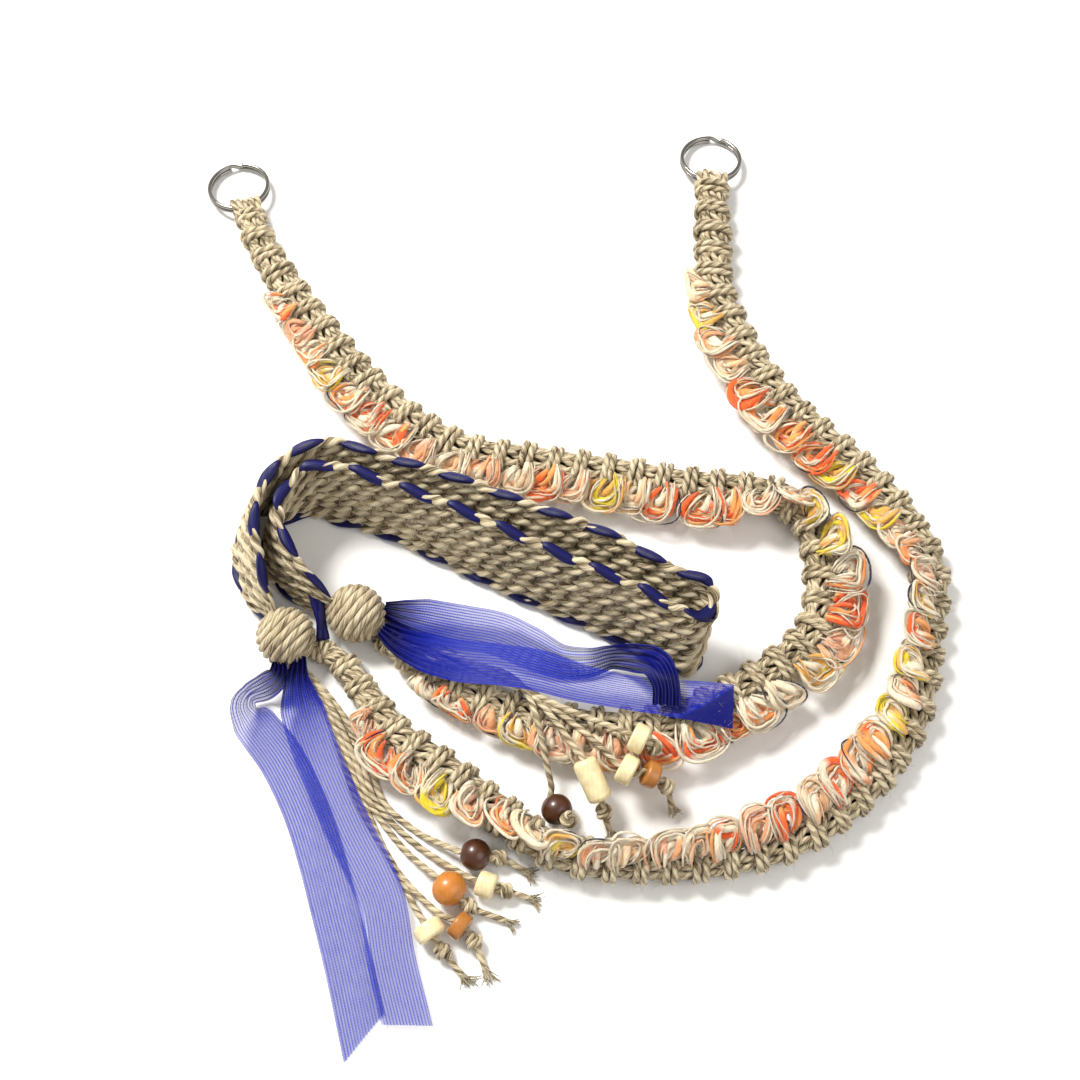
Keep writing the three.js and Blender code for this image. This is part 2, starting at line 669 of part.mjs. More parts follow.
// A bead drilled along its axis: round ones are barrels of a circle, the rest straight with eased rims.
function beadGeometry(kind) {
  const { diameter, length } = BEADS[kind];
  const outer = diameter / 2;
  const bore = CORD / 2 + GAP;
  const half = length / 2;
  const rim = kind.startsWith("round")
    ? [
        [0.45, -1],
        [0.8, -0.68],
        [1, 0],
        [0.8, 0.68],
        [0.45, 1],
      ]
    : [
        [0.72, -1],
        [1, -0.55],
        [1, 0.55],
        [0.72, 1],
      ];
  const profile = rim.map(([r, y]) => new THREE.Vector2(Math.max(r * outer, bore + 0.4), y * half));
  profile.unshift(new THREE.Vector2(bore, -half));
  profile.push(new THREE.Vector2(bore, half), new THREE.Vector2(bore, -half));
  const lathe = new THREE.LatheGeometry(profile, BEAD_SIDES);
  lathe.deleteAttribute("normal");
  lathe.deleteAttribute("uv");
  return facingOut(mergeVertices(lathe));
}

// A bead on its cord, turned to the cord's run.
function threadedBead(curve, mark) {
  const turn = new THREE.Quaternion();
  turn.setFromUnitVectors(new THREE.Vector3(0, 1, 0), curve.getTangentAt(mark.share));
  const at = curve.getPointAt(mark.share);
  return beadGeometry(mark.bead).applyQuaternion(turn).translate(at.x, at.y, at.z);
}

// A split ring's place: its near side runs through the arm's end loop and its far side lies on the table.
function ringPlace(arm) {
  const { curve } = armRoute(arm);
  const start = curve.getPointAt(0);
  const away = curve.getTangentAt(0).negate();
  const radius = (RING_DIAMETER - RING_WIRE) / 2;
  const stack = 2 * RING_WIRE + TURN_GAP;
  const nearHeight = (SENNIT_HEIGHT * arm[0].girth) / 2;
  const tilt = Math.asin((nearHeight - stack / 2) / (2 * radius));
  const side = new THREE.Vector3().crossVectors(UP, away).normalize();
  const along = away.clone().multiplyScalar(Math.cos(tilt)).addScaledVector(UP, -Math.sin(tilt));
  const normal = new THREE.Vector3().crossVectors(along, side).normalize();
  const centre = start.clone().setZ(nearHeight).addScaledVector(along, radius);
  centre.addScaledVector(normal, (RING_WIRE / 2) * Math.sin(tilt));
  return { centre, along, side, normal, radius, stack };
}

// Two flat turns of wire, one on the other, with the step between them on the far side. The upper turn
// ends where the step begins.
function splitRing(arm) {
  const { centre, along, side, normal, radius, stack } = ringPlace(arm);
  const half = RING_WIRE / 2;
  const outline = [
    [-half, 0],
    [-0.6 * half, -half],
    [0.6 * half, -half],
    [half, 0],
    [0.6 * half, half],
    [-0.6 * half, half],
  ];
  const sections = [];
  for (let i = 0; i < RING_STEPS; i++) {
    const angle = (4 * Math.PI * i) / RING_STEPS;
    const height = (i < RING_STEPS / 2 ? -0.5 : 0.5) * (stack - RING_WIRE);
    const out = along.clone().multiplyScalar(Math.cos(angle)).addScaledVector(side, Math.sin(angle));
    const at = centre.clone().addScaledVector(out, radius).addScaledVector(normal, height);
    sections.push({ at, side: out, up: normal, outline });
  }
  return loft(sections);
}

// The room that the ring's wire takes in the arm's end loop.
function ringClearance(arm) {
  const { centre, along, side, normal, radius, stack } = ringPlace(arm);
  const across = RING_WIRE / 2 + GAP;
  const high = stack / 2 + GAP;
  const profile = [
    [radius - across, -high],
    [radius + across, -high],
    [radius + across, high],
    [radius - across, high],
    [radius - across, -high],
  ].map(([r, y]) => new THREE.Vector2(r, y));
  const tunnel = new THREE.LatheGeometry(profile, RING_STEPS / 2);
  tunnel.deleteAttribute("normal");
  tunnel.deleteAttribute("uv");
  const frame = new THREE.Matrix4().makeBasis(side, normal, along);
  return facingOut(mergeVertices(tunnel).applyMatrix4(frame.setPosition(centre)));
}

// The loop of cord at the arm's end, past the ring's wire.
function endLoop(arm) {
  const { curve } = armRoute(arm);
  const away = curve.getTangentAt(0).negate();
  const { left } = levelFrame(curve, 0);
  const reach = RING_WIRE / 2 + GAP + LOOP_WALL;
  const girth = arm[0].girth * (1 - KNOT_SWELL);
  const sections = [-0.4, 0.6, 1].map((share) => {
    const slim = 1 - 0.3 * share * share;
    const height = SENNIT_HEIGHT * girth;
    const at = curve.getPointAt(0).addScaledVector(away, reach * share);
    at.z = (height * (1 - slim)) / 2;
    return { at, side: left, up: UP, outline: sennitOutline(SENNIT_WIDTH * girth * slim, height * slim) };
  });
  return loft(sections);
}

// The strap, put together.
const strap = new THREE.Group();

function addPiece(name, geometry, material) {
  const mesh = new THREE.Mesh(geometry, material);
  mesh.name = name;
  strap.add(mesh);
}

const ballSpaces = [ballClearance(LEFT_BALL), ballClearance(RIGHT_BALL)];

function addArm(name, rows) {
  const body = join(sennit(rows), endLoop(rows));
  addPiece(`${name}_sennit`, cut(body, ringClearance(rows), ...ballSpaces), HEMP);
  addPiece(`${name}_yarn_edge`, yarnEdge(rows), YARN);
}

addPiece("left_split_ring", splitRing(LEFT_ARM), STEEL);
addPiece("right_split_ring", splitRing(RIGHT_ARM), STEEL);
addArm("left_arm", LEFT_ARM);
addArm("right_arm", RIGHT_ARM);
addPiece("left_ball_knot", woundBall(LEFT_BALL, new THREE.Vector3(0.5, -0.7, 0.5)), HEMP);
addPiece("right_ball_knot", woundBall(RIGHT_BALL, new THREE.Vector3(0.4, -0.8, 0.45)), HEMP);
addPiece("woven_band", cut(wovenBand(), ...ballSpaces), WEAVE);

for (const [name, rows] of Object.entries(RIBBONS)) addPiece(name, cut(ribbonTail(rows), ...ballSpaces), RIBBON);

for (const [name, cords] of Object.entries(TASSELS)) {
  addPiece(name, cut(join(...cords.map(tasselCord)), ...ballSpaces), HEMP);
  let count = 0;
  for (const { curve, marks } of cords.map(cordRun))
    for (const mark of marks.filter((one) => one.bead)) {
      count += 1;
      const material = new THREE.MeshStandardMaterial({ color: BEADS[mark.bead].colour, roughness: 0.35 });
      addPiece(`${name}_bead_${count}_${mark.bead}`, threadedBead(curve, mark), material);
    }
}

// The origin is at the middle of the strap's box, on the table.
const box = new THREE.Box3().setFromObject(strap);
const middle = box.getCenter(new THREE.Vector3());
strap.position.set(-middle.x, -middle.y, -box.min.z);

export default strap;
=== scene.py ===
"""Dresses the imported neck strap: knotted hemp arms edged with slub yarn, a woven band with ribbon edges,
wound ball knots, organza ribbon tails, beaded tassels and split rings. All pieces are in metres."""

import math

import bpy
import numpy as np
from mathutils import Matrix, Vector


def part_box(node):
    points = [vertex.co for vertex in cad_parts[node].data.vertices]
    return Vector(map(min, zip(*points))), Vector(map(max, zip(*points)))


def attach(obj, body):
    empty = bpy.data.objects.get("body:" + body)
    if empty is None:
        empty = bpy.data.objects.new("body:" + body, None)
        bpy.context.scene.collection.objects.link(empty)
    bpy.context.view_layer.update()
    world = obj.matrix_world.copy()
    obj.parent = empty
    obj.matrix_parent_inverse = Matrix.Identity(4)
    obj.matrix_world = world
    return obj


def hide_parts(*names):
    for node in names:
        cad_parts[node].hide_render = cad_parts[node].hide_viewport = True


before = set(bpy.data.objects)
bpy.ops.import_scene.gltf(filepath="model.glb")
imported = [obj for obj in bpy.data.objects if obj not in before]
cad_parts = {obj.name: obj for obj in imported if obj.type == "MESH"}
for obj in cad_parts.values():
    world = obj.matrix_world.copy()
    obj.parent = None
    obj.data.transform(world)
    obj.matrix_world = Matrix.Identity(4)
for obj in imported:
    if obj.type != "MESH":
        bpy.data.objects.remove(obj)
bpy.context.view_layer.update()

bl_info = {
    "name": "Macrame neck strap",
    "version": (1, 0, 0),
    "blender": (4, 5, 0),
    "location": "3D View > Sidebar > Neck strap",
    "description": "Knotted hemp neck strap with a woven band, ribbon tails and beaded tassels",
    "category": "Add Mesh",
}

MM = 0.001
TURN = 2 * math.pi
UP = np.array([0.0, 0.0, 1.0])

# How far above the table a piece stays where it would sink into it.
TABLE_GAP = 0.02 * MM

# The layout on the table: the tables give plan places as shares of these two.
LAY_WIDTH = 210 * MM
LAY_DEPTH = 290 * MM

# Hemp cord: one turn of its two plies takes CORD_LAY, and a fibre shows for FIBRE_SHOWS of length.
CORD = 2 * MM
CORD_LAY = 6.5 * MM
FIBRE_SHOWS = 6.25 * MM

# How many stations a path or a ribbon's width is drawn with, within the limits on triangles.
STATIONS = {
    "turn of cord": 38,
    "split ring": 220,
    "end loop": 44,
    "scallop": 19,
    "float": 23,
    "ball": 520,
    "ribbon": 37,
    "overhand knot": 46,
}

# The knotted arms.
SENNIT_WIDTH = 11.5 * MM
SENNIT_HEIGHT = 10 * MM
KNOT_PITCH = 8 * MM
LOOP_PITCH = 9 * MM
YARN_REACH = 7.5 * MM

# Cords in an arm's core, loops at its ring, and stray fibres on its turns and on its yarn.
CORE_STRANDS = 13
END_LOOPS = 5
ARM_FIBRES, YARN_FIBRES = 1300, 3800

# How far a strand of yarn strolls beside its arch, waves in and out, tilts over the next scallop and tucks
# its feet in.
YARN_STROLL = 0.9 * MM
YARN_WAVE = 0.6 * MM
YARN_TILT = 0.5 * MM
YARN_TUCK = 1.4 * MM

# The woven band: each row is one thick laid cord, whose plies show as humps. FLOAT_SLANT is how far ahead
# the outer side of a ribbon float runs, as a share of its height over the float's middle.
BAND_WIDTH = 28 * MM
BAND_ROWS = 8
BAND_THICK = 4.2 * MM
ROW_LAY = 10.4 * MM
FLOAT_LENGTH = 12 * MM
FLOAT_PITCH = 14.6 * MM
FLOAT_SLANT = 2.3

# The wound balls.
BALL_DIAMETER = 16.5 * MM
BALL_TURNS = 9.5

# The ribbon: a denser warp line each RIBBON_LINE across it and a weft thread each WEFT along it.
RIBBON_WIDTH = 12.7 * MM
RIBBON_LINE = 0.8 * MM
WEFT = 0.7 * MM
SELVEDGE = 0.5 * MM
PLEATS, PLEAT_DEPTH = 4, 1.1 * MM

# The split rings, and the arms' girth at each ring.
RING_DIAMETER = 20 * MM
RING_WIRE = 1.3 * MM
TURN_GAP = 0.15 * MM
END_GIRTH = {"left": 0.85, "right": 0.9}


def table(names, rows):
    """Rows under named columns, kept as one array for each column."""
    return dict(zip(names.split(), np.array(rows, float).T))


# The arms' routes. turn says where the yarn edge sits round the sennit, 0 on the left of the way to the
# ball, 0.5 on top and 1 on the right. girth and yarn are shares of the sennit's size and the yarn's reach.
ARM_COLUMNS = "across along turn girth yarn"
ARMS = {
    "left": table(
        ARM_COLUMNS,
        [
            (-0.472, 0.436, 1, 0.85, 0),
            (-0.448, 0.383, 1, 0.85, 0),
            (-0.388, 0.304, 1, 0.95, 0.45),
            (-0.32, 0.229, 1, 1, 0.85),
            (-0.248, 0.167, 1, 1, 1),
            (-0.168, 0.125, 1, 1, 0.9),
            (-0.057, 0.104, 1, 1, 0.8),
            (0.054, 0.086, 1, 1, 0.9),
            (0.165, 0.067, 1, 1, 1),
            (0.22, 0.062, 0.95, 1, 0.9),
            (0.268, 0.053, 0.75, 1, 0.7),
            (0.304, 0.035, 0.5, 1, 0.7),
            (0.32, 0.006, 0.3, 1, 0.75),
            (0.317, -0.05, 0.05, 1, 0.9),
            (0.301, -0.089, 0, 1, 1),
            (0.267, -0.116, 0, 1, 1),
            (0.18, -0.153, 0, 1, 1),
            (0.077, -0.18, 0, 1, 0.9),
            (-0.028, -0.177, 0, 1, 0.8),
            (-0.132, -0.152, 0, 0.95, 0.45),
            (-0.222, -0.115, 0, 0.78, 0),
            (-0.29, -0.07, 0, 0.62, 0),
        ],
    ),
    "right": table(
        ARM_COLUMNS,
        [
            (0.236, 0.442, 1, 0.9, 0),
            (0.226, 0.361, 1, 1.02, 0),
            (0.221, 0.298, 1, 1.02, 0.35),
            (0.244, 0.238, 1, 1, 0.8),
            (0.284, 0.176, 1, 1, 1),
            (0.337, 0.124, 1, 1, 1),
            (0.392, 0.076, 1, 1, 0.75),
            (0.444, 0.018, 0.95, 1, 0.6),
            (0.466, -0.043, 0.75, 1, 0.75),
            (0.444, -0.111, 0.75, 1, 0.85),
            (0.411, -0.186, 0.85, 1, 0.9),
            (0.343, -0.247, 0.85, 1, 1),
            (0.243, -0.295, 0.85, 1, 1),
            (0.137, -0.312, 0.75, 1, 0.9),
            (0.035, -0.311, 0.7, 1, 0.85),
            (-0.066, -0.297, 0.55, 1, 0.7),
            (-0.133, -0.262, 0.3, 1, 0.85),
            (-0.201, -0.218, 0.05, 1, 0.95),
            (-0.271, -0.176, 0, 1, 0.7),
            (-0.3, -0.143, 0, 0.82, 0),
            (-0.342, -0.096, 0, 0.66, 0),
            (-0.381, -0.077, 0, 0.6, 0),
        ],
    ),
}

# The dyes of the slub yarn, one letter a scallop along each arm, charted: o orange, y yellow,
# p peach, c cream, n apricot with navy strands and - where the arm has no yarn.
DYES = {
    "left": "----opnynoopcpcopycoooppyynopycnooopcpypoc--",
    "right": "----cypconooyoypnpyoynyonocopocpcpycopynop---",
}

# The wound balls' places, and the axes of their windings, whose poles lie out of the photograph's sight.
BALLS = {"left": (-0.412, -0.073), "right": (-0.318, -0.053)}
BALL_AXES = {"left": (0.72, -0.66, -0.22), "right": (0.76, -0.6, -0.16)}

# The band's lower edge, the lean of its upper edge and the heights of both, as shares of its width.
BAND = table(
    "across along lean_x lean_y low high",
    [
        (-0.426, -0.06, 0.04, 0.0, 0.16, 0.46),
        (-0.443, -0.047, 0.14, -0.01, 0.11, 0.52),
        (-0.469, -0.026, 0.27, -0.02, 0.03, 0.74),
        (-0.483, 0.003, 0.34, -0.04, 0, 0.9),
        (-0.485, 0.033, 0.33, -0.04, 0, 0.94),
        (-0.469, 0.059, 0.27, -0.01, 0, 0.95),
        (-0.431, 0.079, 0.14, 0.03, 0, 0.98),
        (-0.383, 0.087, 0, 0.12, 0, 0.98),
        (-0.34, 0.08, 0.08, 0.26, 0, 0.96),
        (-0.305, 0.064, 0.12, 0.3, 0, 0.95),
        (-0.204, 0.033, 0.15, 0.32, 0, 0.94),
        (-0.097, -0.003, 0.15, 0.32, 0, 0.94),
        (0.01, -0.04, 0.15, 0.31, 0, 0.94),
        (0.09, -0.079, 0.15, 0.31, 0, 0.94),
        (0.125, -0.093, 0.14, 0.33, 0, 0.94),
        (0.138, -0.112, 0.12, 0.33, 0, 0.94),
        (0.12, -0.127, 0.12, 0.32, 0, 0.94),
        (0.09, -0.117, 0.13, 0.29, 0, 0.95),
        (0.037, -0.09, 0.14, 0.27, 0, 0.95),
        (-0.066, -0.05, 0.14, 0.27, 0, 0.95),
        (-0.176, -0.004, 0.14, 0.26, 0, 0.95),
        (-0.276, 0.038, 0.11, 0.2, 0, 0.96),
        (-0.338, 0.055, 0.05, 0.24, 0, 0.96),
        (-0.383, 0.066, 0.11, 0.13, 0, 0.96),
        (-0.422, 0.06, 0.19, 0.03, 0, 0.95),
        (-0.445, 0.036, 0.26, 0.06, 0, 0.93),
        (-0.44, 0.005, 0.28, 0.05, 0, 0.88),
        (-0.412, -0.022, 0.23, 0.05, 0.02, 0.76),
        (-0.376, -0.041, 0.13, 0.05, 0.09, 0.6),
        (-0.349, -0.05, 0.04, 0.02, 0.15, 0.46),
    ],
)

# The tie of ribbon between the balls.
TIE = table(
    "across along rise",
    [
        (-0.385, -0.012, 1.0),
        (-0.371, -0.033, 1.05),
        (-0.366, -0.052, 0.9),
        (-0.365, -0.075, 0.55),
    ],
)

# The ribbon tails. rise is the height as a share of the sennit's, spread the width as a share of the
# ribbon's, gather how many walls lie together, roll the turn about the run in half turns and skew how far
# the left edge runs ahead.
RIBBON_COLUMNS = "across along rise spread gather roll skew"
RIBBONS = {
    "ribbon_tail_looped": table(
        RIBBON_COLUMNS,
        [
            (-0.42, -0.1, 0.9, 0.3, 3, 0, 0),
            (-0.424, -0.113, 0.74, 0.5, 2, -0.1, 0),
            (-0.444, -0.12, 0.55, 0.75, 1.2, -0.32, 0),
            (-0.463, -0.127, 0.56, 0.8, 1, -0.42, 0),
            (-0.469, -0.138, 0.52, 0.85, 1, -0.28, 0),
            (-0.458, -0.152, 0.32, 1, 1, -0.1, 0),
            (-0.424, -0.187, 0.1, 1, 1, -0.01, 0),
            (-0.391, -0.24, 0.06, 1, 1, 0, 0),
            (-0.371, -0.289, 0.06, 1, 1, 0, 0),
            (-0.357, -0.331, 0.06, 1, 1, 0, 0),
            (-0.34, -0.384, 0.06, 1, 1, 0, 0),
            (-0.322, -0.45, 0.06, 1, 1, 0, -0.75),
        ],
    ),
    "ribbon_tail_long": table(
        RIBBON_COLUMNS,
        [
            (-0.393, -0.095, 0.92, 0.28, 3, 0, 0),
            (-0.397, -0.114, 0.75, 0.5, 1.8, 0, 0),
            (-0.394, -0.142, 0.45, 0.95, 1, 0, 0),
            (-0.378, -0.182, 0.3, 1, 1, 0.01, 0),
            (-0.355, -0.227, 0.29, 1, 1, 0.01, 0),
            (-0.333, -0.266, 0.29, 1, 1, 0, 0),
            (-0.31, -0.302, 0.34, 1, 1, 0.03, 0),
            (-0.295, -0.332, 0.34, 1, 1, 0.03, 0),
            (-0.285, -0.384, 0.24, 1, 1, 0, 0),
            (-0.268, -0.442, 0.2, 1, 1, 0, 0.3),
        ],
    ),
    "ribbon_tail_folded": table(
        RIBBON_COLUMNS,
        [
            (-0.281, -0.05, 0.8, 0.32, 3, 0, 0),
            (-0.258, -0.056, 0.78, 0.65, 2, 0.03, 0),
            (-0.225, -0.062, 0.7, 0.95, 1.2, 0.04, 0),
            (-0.18, -0.07, 0.6, 1, 1, 0.06, 0),
            (-0.127, -0.079, 0.5, 1, 1, 0.05, 0),
            (-0.087, -0.094, 0.42, 0.95, 1, 0.1, 0),
            (-0.048, -0.109, 0.42, 0.8, 1, 0.2, 0),
            (-0.008, -0.113, 0.52, 0.8, 1, 0.3, 0),
            (0.022, -0.109, 0.55, 0.75, 1, 0.36, 0),
            (0.054, -0.115, 0.8, 0.75, 1, 0.26, 0),
            (0.077, -0.13, 1.32, 0.7, 1.2, 0.08, 0),
            (0.085, -0.153, 1.5, 0.6, 2, 0, 0),
            (0.083, -0.172, 1.5, 0.6, 2, 0, 0),
        ],
    ),
    "ribbon_tail_lower": table(
        RIBBON_COLUMNS,
        [
            (-0.284, -0.075, 1.15, 0.32, 3, 0, 0),
            (-0.26, -0.09, 1.2, 0.65, 1.8, -0.03, 0),
            (-0.225, -0.102, 1.14, 0.95, 1.2, -0.05, 0),
            (-0.182, -0.112, 1.15, 1, 1, -0.03, 0),
            (-0.129, -0.12, 1.3, 1, 1, -0.03, 0),
            (-0.077, -0.129, 1.34, 1, 1, -0.03, 0),
            (-0.025, -0.141, 1.16, 1, 1, -0.1, 0),
            (0.027, -0.15, 1.02, 1, 1, -0.13, 0),
            (0.079, -0.158, 1.02, 1, 1, -0.13, 0),
            (0.131, -0.167, 1.18, 1, 1, -0.04, 0),
            (0.172, -0.174, 1.2, 1, 1, 0, -0.1),
        ],
    ),
}
# How far from the ball each tail stays dense with gathers.
RIBBON_FADES = {
    "ribbon_tail_looped": 7 * MM,
    "ribbon_tail_long": 9 * MM,
    "ribbon_tail_folded": 15 * MM,
    "ribbon_tail_lower": 30 * MM,
}

# The beads, by kind: diameter, length and lacquer.
BEADS = {
    "round_dark": (8.6 * MM, 7.8 * MM, "#48220a"),
    "round_orange": (9.4 * MM, 8.4 * MM, "#c87c2c"),
    "disc_cream": (8.2 * MM, 4.4 * MM, "#f0dfae"),
    "disc_brown": (7.4 * MM, 3.8 * MM, "#b0702c"),
    "drum_cream": (7 * MM, 5.2 * MM, "#f0dfae"),
    "tube_cream": (6.8 * MM, 12 * MM, "#f0dfae"),
}

# How far a cord runs straight past each end of a bead.
BEAD_EASE = 0.5 * MM

# The tassels' cords: across, along, rise, and the bead or "knot" there.
TASSELS = {
    "tassel_left": [
        [
            (-0.395, -0.099, 0.4, ""),
            (-0.355, -0.134, 0.27, ""),
            (-0.31, -0.19, 0.1, ""),
            (-0.29, -0.236, 0.1, ""),
            (-0.247, -0.267, 0.1, ""),
            (-0.205, -0.286, 0.4, ""),
            (-0.174, -0.294, 0.43, "round_dark"),
            (-0.144, -0.297, 0.3, "knot"),
            (-0.106, -0.312, 0.1, ""),
        ],
        [
            (-0.395, -0.099, 0.4, ""),
            (-0.358, -0.134, 0.1, ""),
            (-0.32, -0.19, 0.1, ""),
            (-0.3, -0.236, 0.1, ""),
            (-0.255, -0.275, 0.1, ""),
            (-0.19, -0.311, 0.3, ""),
            (-0.162, -0.322, 0.36, "drum_cream"),
            (-0.138, -0.328, 0.28, "knot"),
            (-0.104, -0.336, 0.1, ""),
        ],
        [
            (-0.395, -0.099, 0.4, ""),
            (-0.361, -0.134, 0.44, ""),
            (-0.328, -0.19, 0.15, ""),
            (-0.308, -0.236, 0.1, ""),
            (-0.266, -0.282, 0.12, ""),
            (-0.23, -0.309, 0.45, ""),
            (-0.209, -0.324, 0.47, "round_orange"),
            (-0.186, -0.34, 0.28, "knot"),
            (-0.134, -0.356, 0.1, ""),
        ],
        [
            (-0.395, -0.099, 0.4, ""),
            (-0.366, -0.134, 0.27, ""),
            (-0.336, -0.19, 0.1, ""),
            (-0.316, -0.236, 0.1, ""),
            (-0.277, -0.3, 0.1, ""),
            (-0.222, -0.346, 0.34, ""),
            (-0.197, -0.358, 0.4, "disc_brown"),
            (-0.181, -0.372, 0.28, "knot"),
            (-0.166, -0.401, 0.1, ""),
        ],
        [
            (-0.395, -0.099, 0.4, ""),
            (-0.369, -0.134, 0.1, ""),
            (-0.344, -0.19, 0.1, ""),
            (-0.324, -0.236, 0.1, ""),
            (-0.279, -0.298, 0.1, ""),
            (-0.252, -0.341, 0.32, ""),
            (-0.236, -0.361, 0.42, "disc_cream"),
            (-0.221, -0.379, 0.28, "knot"),
            (-0.194, -0.404, 0.1, ""),
        ],
    ],
    "tassel_right": [
        [
            (-0.281, -0.052, 0.25, ""),
            (-0.221, -0.078, 0.1, ""),
            (-0.156, -0.108, 0.4, ""),
            (-0.12, -0.124, 0.8, ""),
            (-0.096, -0.148, 1.2, ""),
            (-0.083, -0.183, 1.2, ""),
            (-0.076, -0.216, 0.9, ""),
            (-0.071, -0.236, 0.42, ""),
            (-0.066, -0.256, 0.44, "round_dark"),
            (-0.052, -0.27, 0.9, "knot"),
        ],
        [
            (-0.281, -0.052, 0.25, ""),
            (-0.221, -0.083, 0.1, ""),
            (-0.156, -0.113, 0.4, ""),
            (-0.118, -0.129, 0.8, ""),
            (-0.087, -0.153, 1.2, ""),
            (-0.056, -0.184, 1.22, ""),
            (-0.036, -0.209, 1.2, ""),
            (-0.019, -0.236, 1.1, "tube_cream"),
            (-0.006, -0.262, 0.6, "knot"),
            (0.002, -0.28, 0.12, ""),
        ],
        [
            (-0.281, -0.052, 0.25, ""),
            (-0.221, -0.088, 0.1, ""),
            (-0.156, -0.118, 0.4, ""),
            (-0.116, -0.134, 0.8, ""),
            (-0.08, -0.155, 1.2, ""),
            (-0.042, -0.179, 1.22, ""),
            (-0.002, -0.209, 1.28, ""),
            (0.026, -0.23, 1.3, "disc_cream"),
            (0.056, -0.235, 1.2, "disc_brown"),
            (0.076, -0.244, 0.9, "knot"),
            (0.084, -0.262, 0.3, ""),
        ],
        [
            (-0.281, -0.052, 0.25, ""),
            (-0.221, -0.083, 0.26, ""),
            (-0.156, -0.114, 0.55, ""),
            (-0.116, -0.132, 0.92, ""),
            (-0.076, -0.156, 1.3, ""),
            (-0.037, -0.172, 1.36, ""),
            (0.008, -0.188, 1.4, ""),
            (0.044, -0.203, 1.52, "disc_cream"),
            (0.064, -0.211, 1.3, "knot"),
        ],
    ],
}

# The plan's offset from the tables to the frame, read at the left ball knot.
ball_low, ball_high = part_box("left_ball_knot")
OFFSET = np.array(
    [
        (ball_low[0] + ball_high[0]) / 2 - BALLS["left"][0] * LAY_WIDTH,
        (ball_low[1] + ball_high[1]) / 2 - BALLS["left"][1] * LAY_DEPTH,
        0.0,
    ]
)


# ---- shapes -----------------------------------------------------------------------------------------


def unit(v):
    """Each vector divided by its length."""
    return v / np.maximum(np.linalg.norm(v, axis=-1, keepdims=True), 1e-12)


def plan(across, along, height):
    """Places on the table: shares of the layout's width and depth, and a height."""
    shares = np.stack([across, along, height], axis=-1)
    return shares * [LAY_WIDTH, LAY_DEPTH, 1.0] + OFFSET


def spline(points, row):
    """Centripetal Catmull-Rom curve read at fractional row numbers. Between two rows it is the cubic that
    leaves one and reaches the other with slopes from the neighbours, weighed by root chord lengths."""
    ends = np.vstack([2 * points[0] - points[1], points, 2 * points[-1] - points[-2]])
    gap = np.sqrt(np.linalg.norm(np.diff(ends, axis=0), axis=1))[:, None]
    i = np.clip(np.floor(row).astype(int), 0, len(points) - 2)
    t = (row - i)[:, None]
    p0, p1, p2, p3 = (ends[i + k] for k in range(4))
    g0, g1, g2 = (gap[i + k] for k in range(3))
    leave = ((p1 - p0) / g0 - (p2 - p0) / (g0 + g1) + (p2 - p1) / g1) * g1
    reach = ((p2 - p1) / g1 - (p3 - p1) / (g1 + g2) + (p3 - p2) / g2) * g1
    return (
        (2 * t**3 - 3 * t**2 + 1) * p1
        + (t**3 - 2 * t**2 + t) * leave
        + (3 * t**2 - 2 * t**3) * p2
        + (t**3 - t**2) * reach
    )


def lengths(path):
    """How far along its path each point lies. The last axis but one runs along the path."""
    steps = np.linalg.norm(np.diff(path, axis=-2), axis=-1)
    return np.concatenate([np.zeros_like(steps[..., :1]), np.cumsum(steps, axis=-1)], axis=-1)


class Run:
    """A route read at even steps of length, with readers for its columns and for places beside it."""

    def __init__(self, points, step, columns=None):
        """Walks the spline through the points, and keeps its places and directions at each step."""
        fine = np.linspace(0, len(points) - 1, 24 * (len(points) - 1) + 1)
        far = lengths(spline(points, fine))
        self.length = far[-1]
        self.far = np.linspace(0, self.length, max(3, round(self.length / step) + 1))
        self.row = np.interp(self.far, far, fine)
        self.at = spline(points, self.row)
        self.tangent = unit(np.gradient(self.at, axis=0))
        self.left = unit(np.stack([-self.tangent[:, 1], self.tangent[:, 0], 0 * self.far], axis=1))
        self.columns = columns or {}

    def column(self, name, far):
        """A named column's values at places far along the run."""
        values = self.columns[name]
        return np.interp(np.interp(far, self.far, self.row), np.arange(len(values)), values)

    def read(self, field, far):
        """A field of vectors, one for each step of the run, read at places far along it."""
        return np.stack([np.interp(far, self.far, field[:, k]) for k in range(3)], axis=-1)

    def beside(self, far, left, up):
        """Places far along the run, moved to its left and up."""
        side = unit(self.read(self.left, far))
        return self.read(self.at, far) + np.asarray(left)[..., None] * side + np.asarray(up)[..., None] * UP


def raised_run(rows, step):
    """The route of a table whose heights are shares of the sennit's."""
    return Run(plan(rows["across"], rows["along"], rows["rise"] * SENNIT_HEIGHT), step, rows)


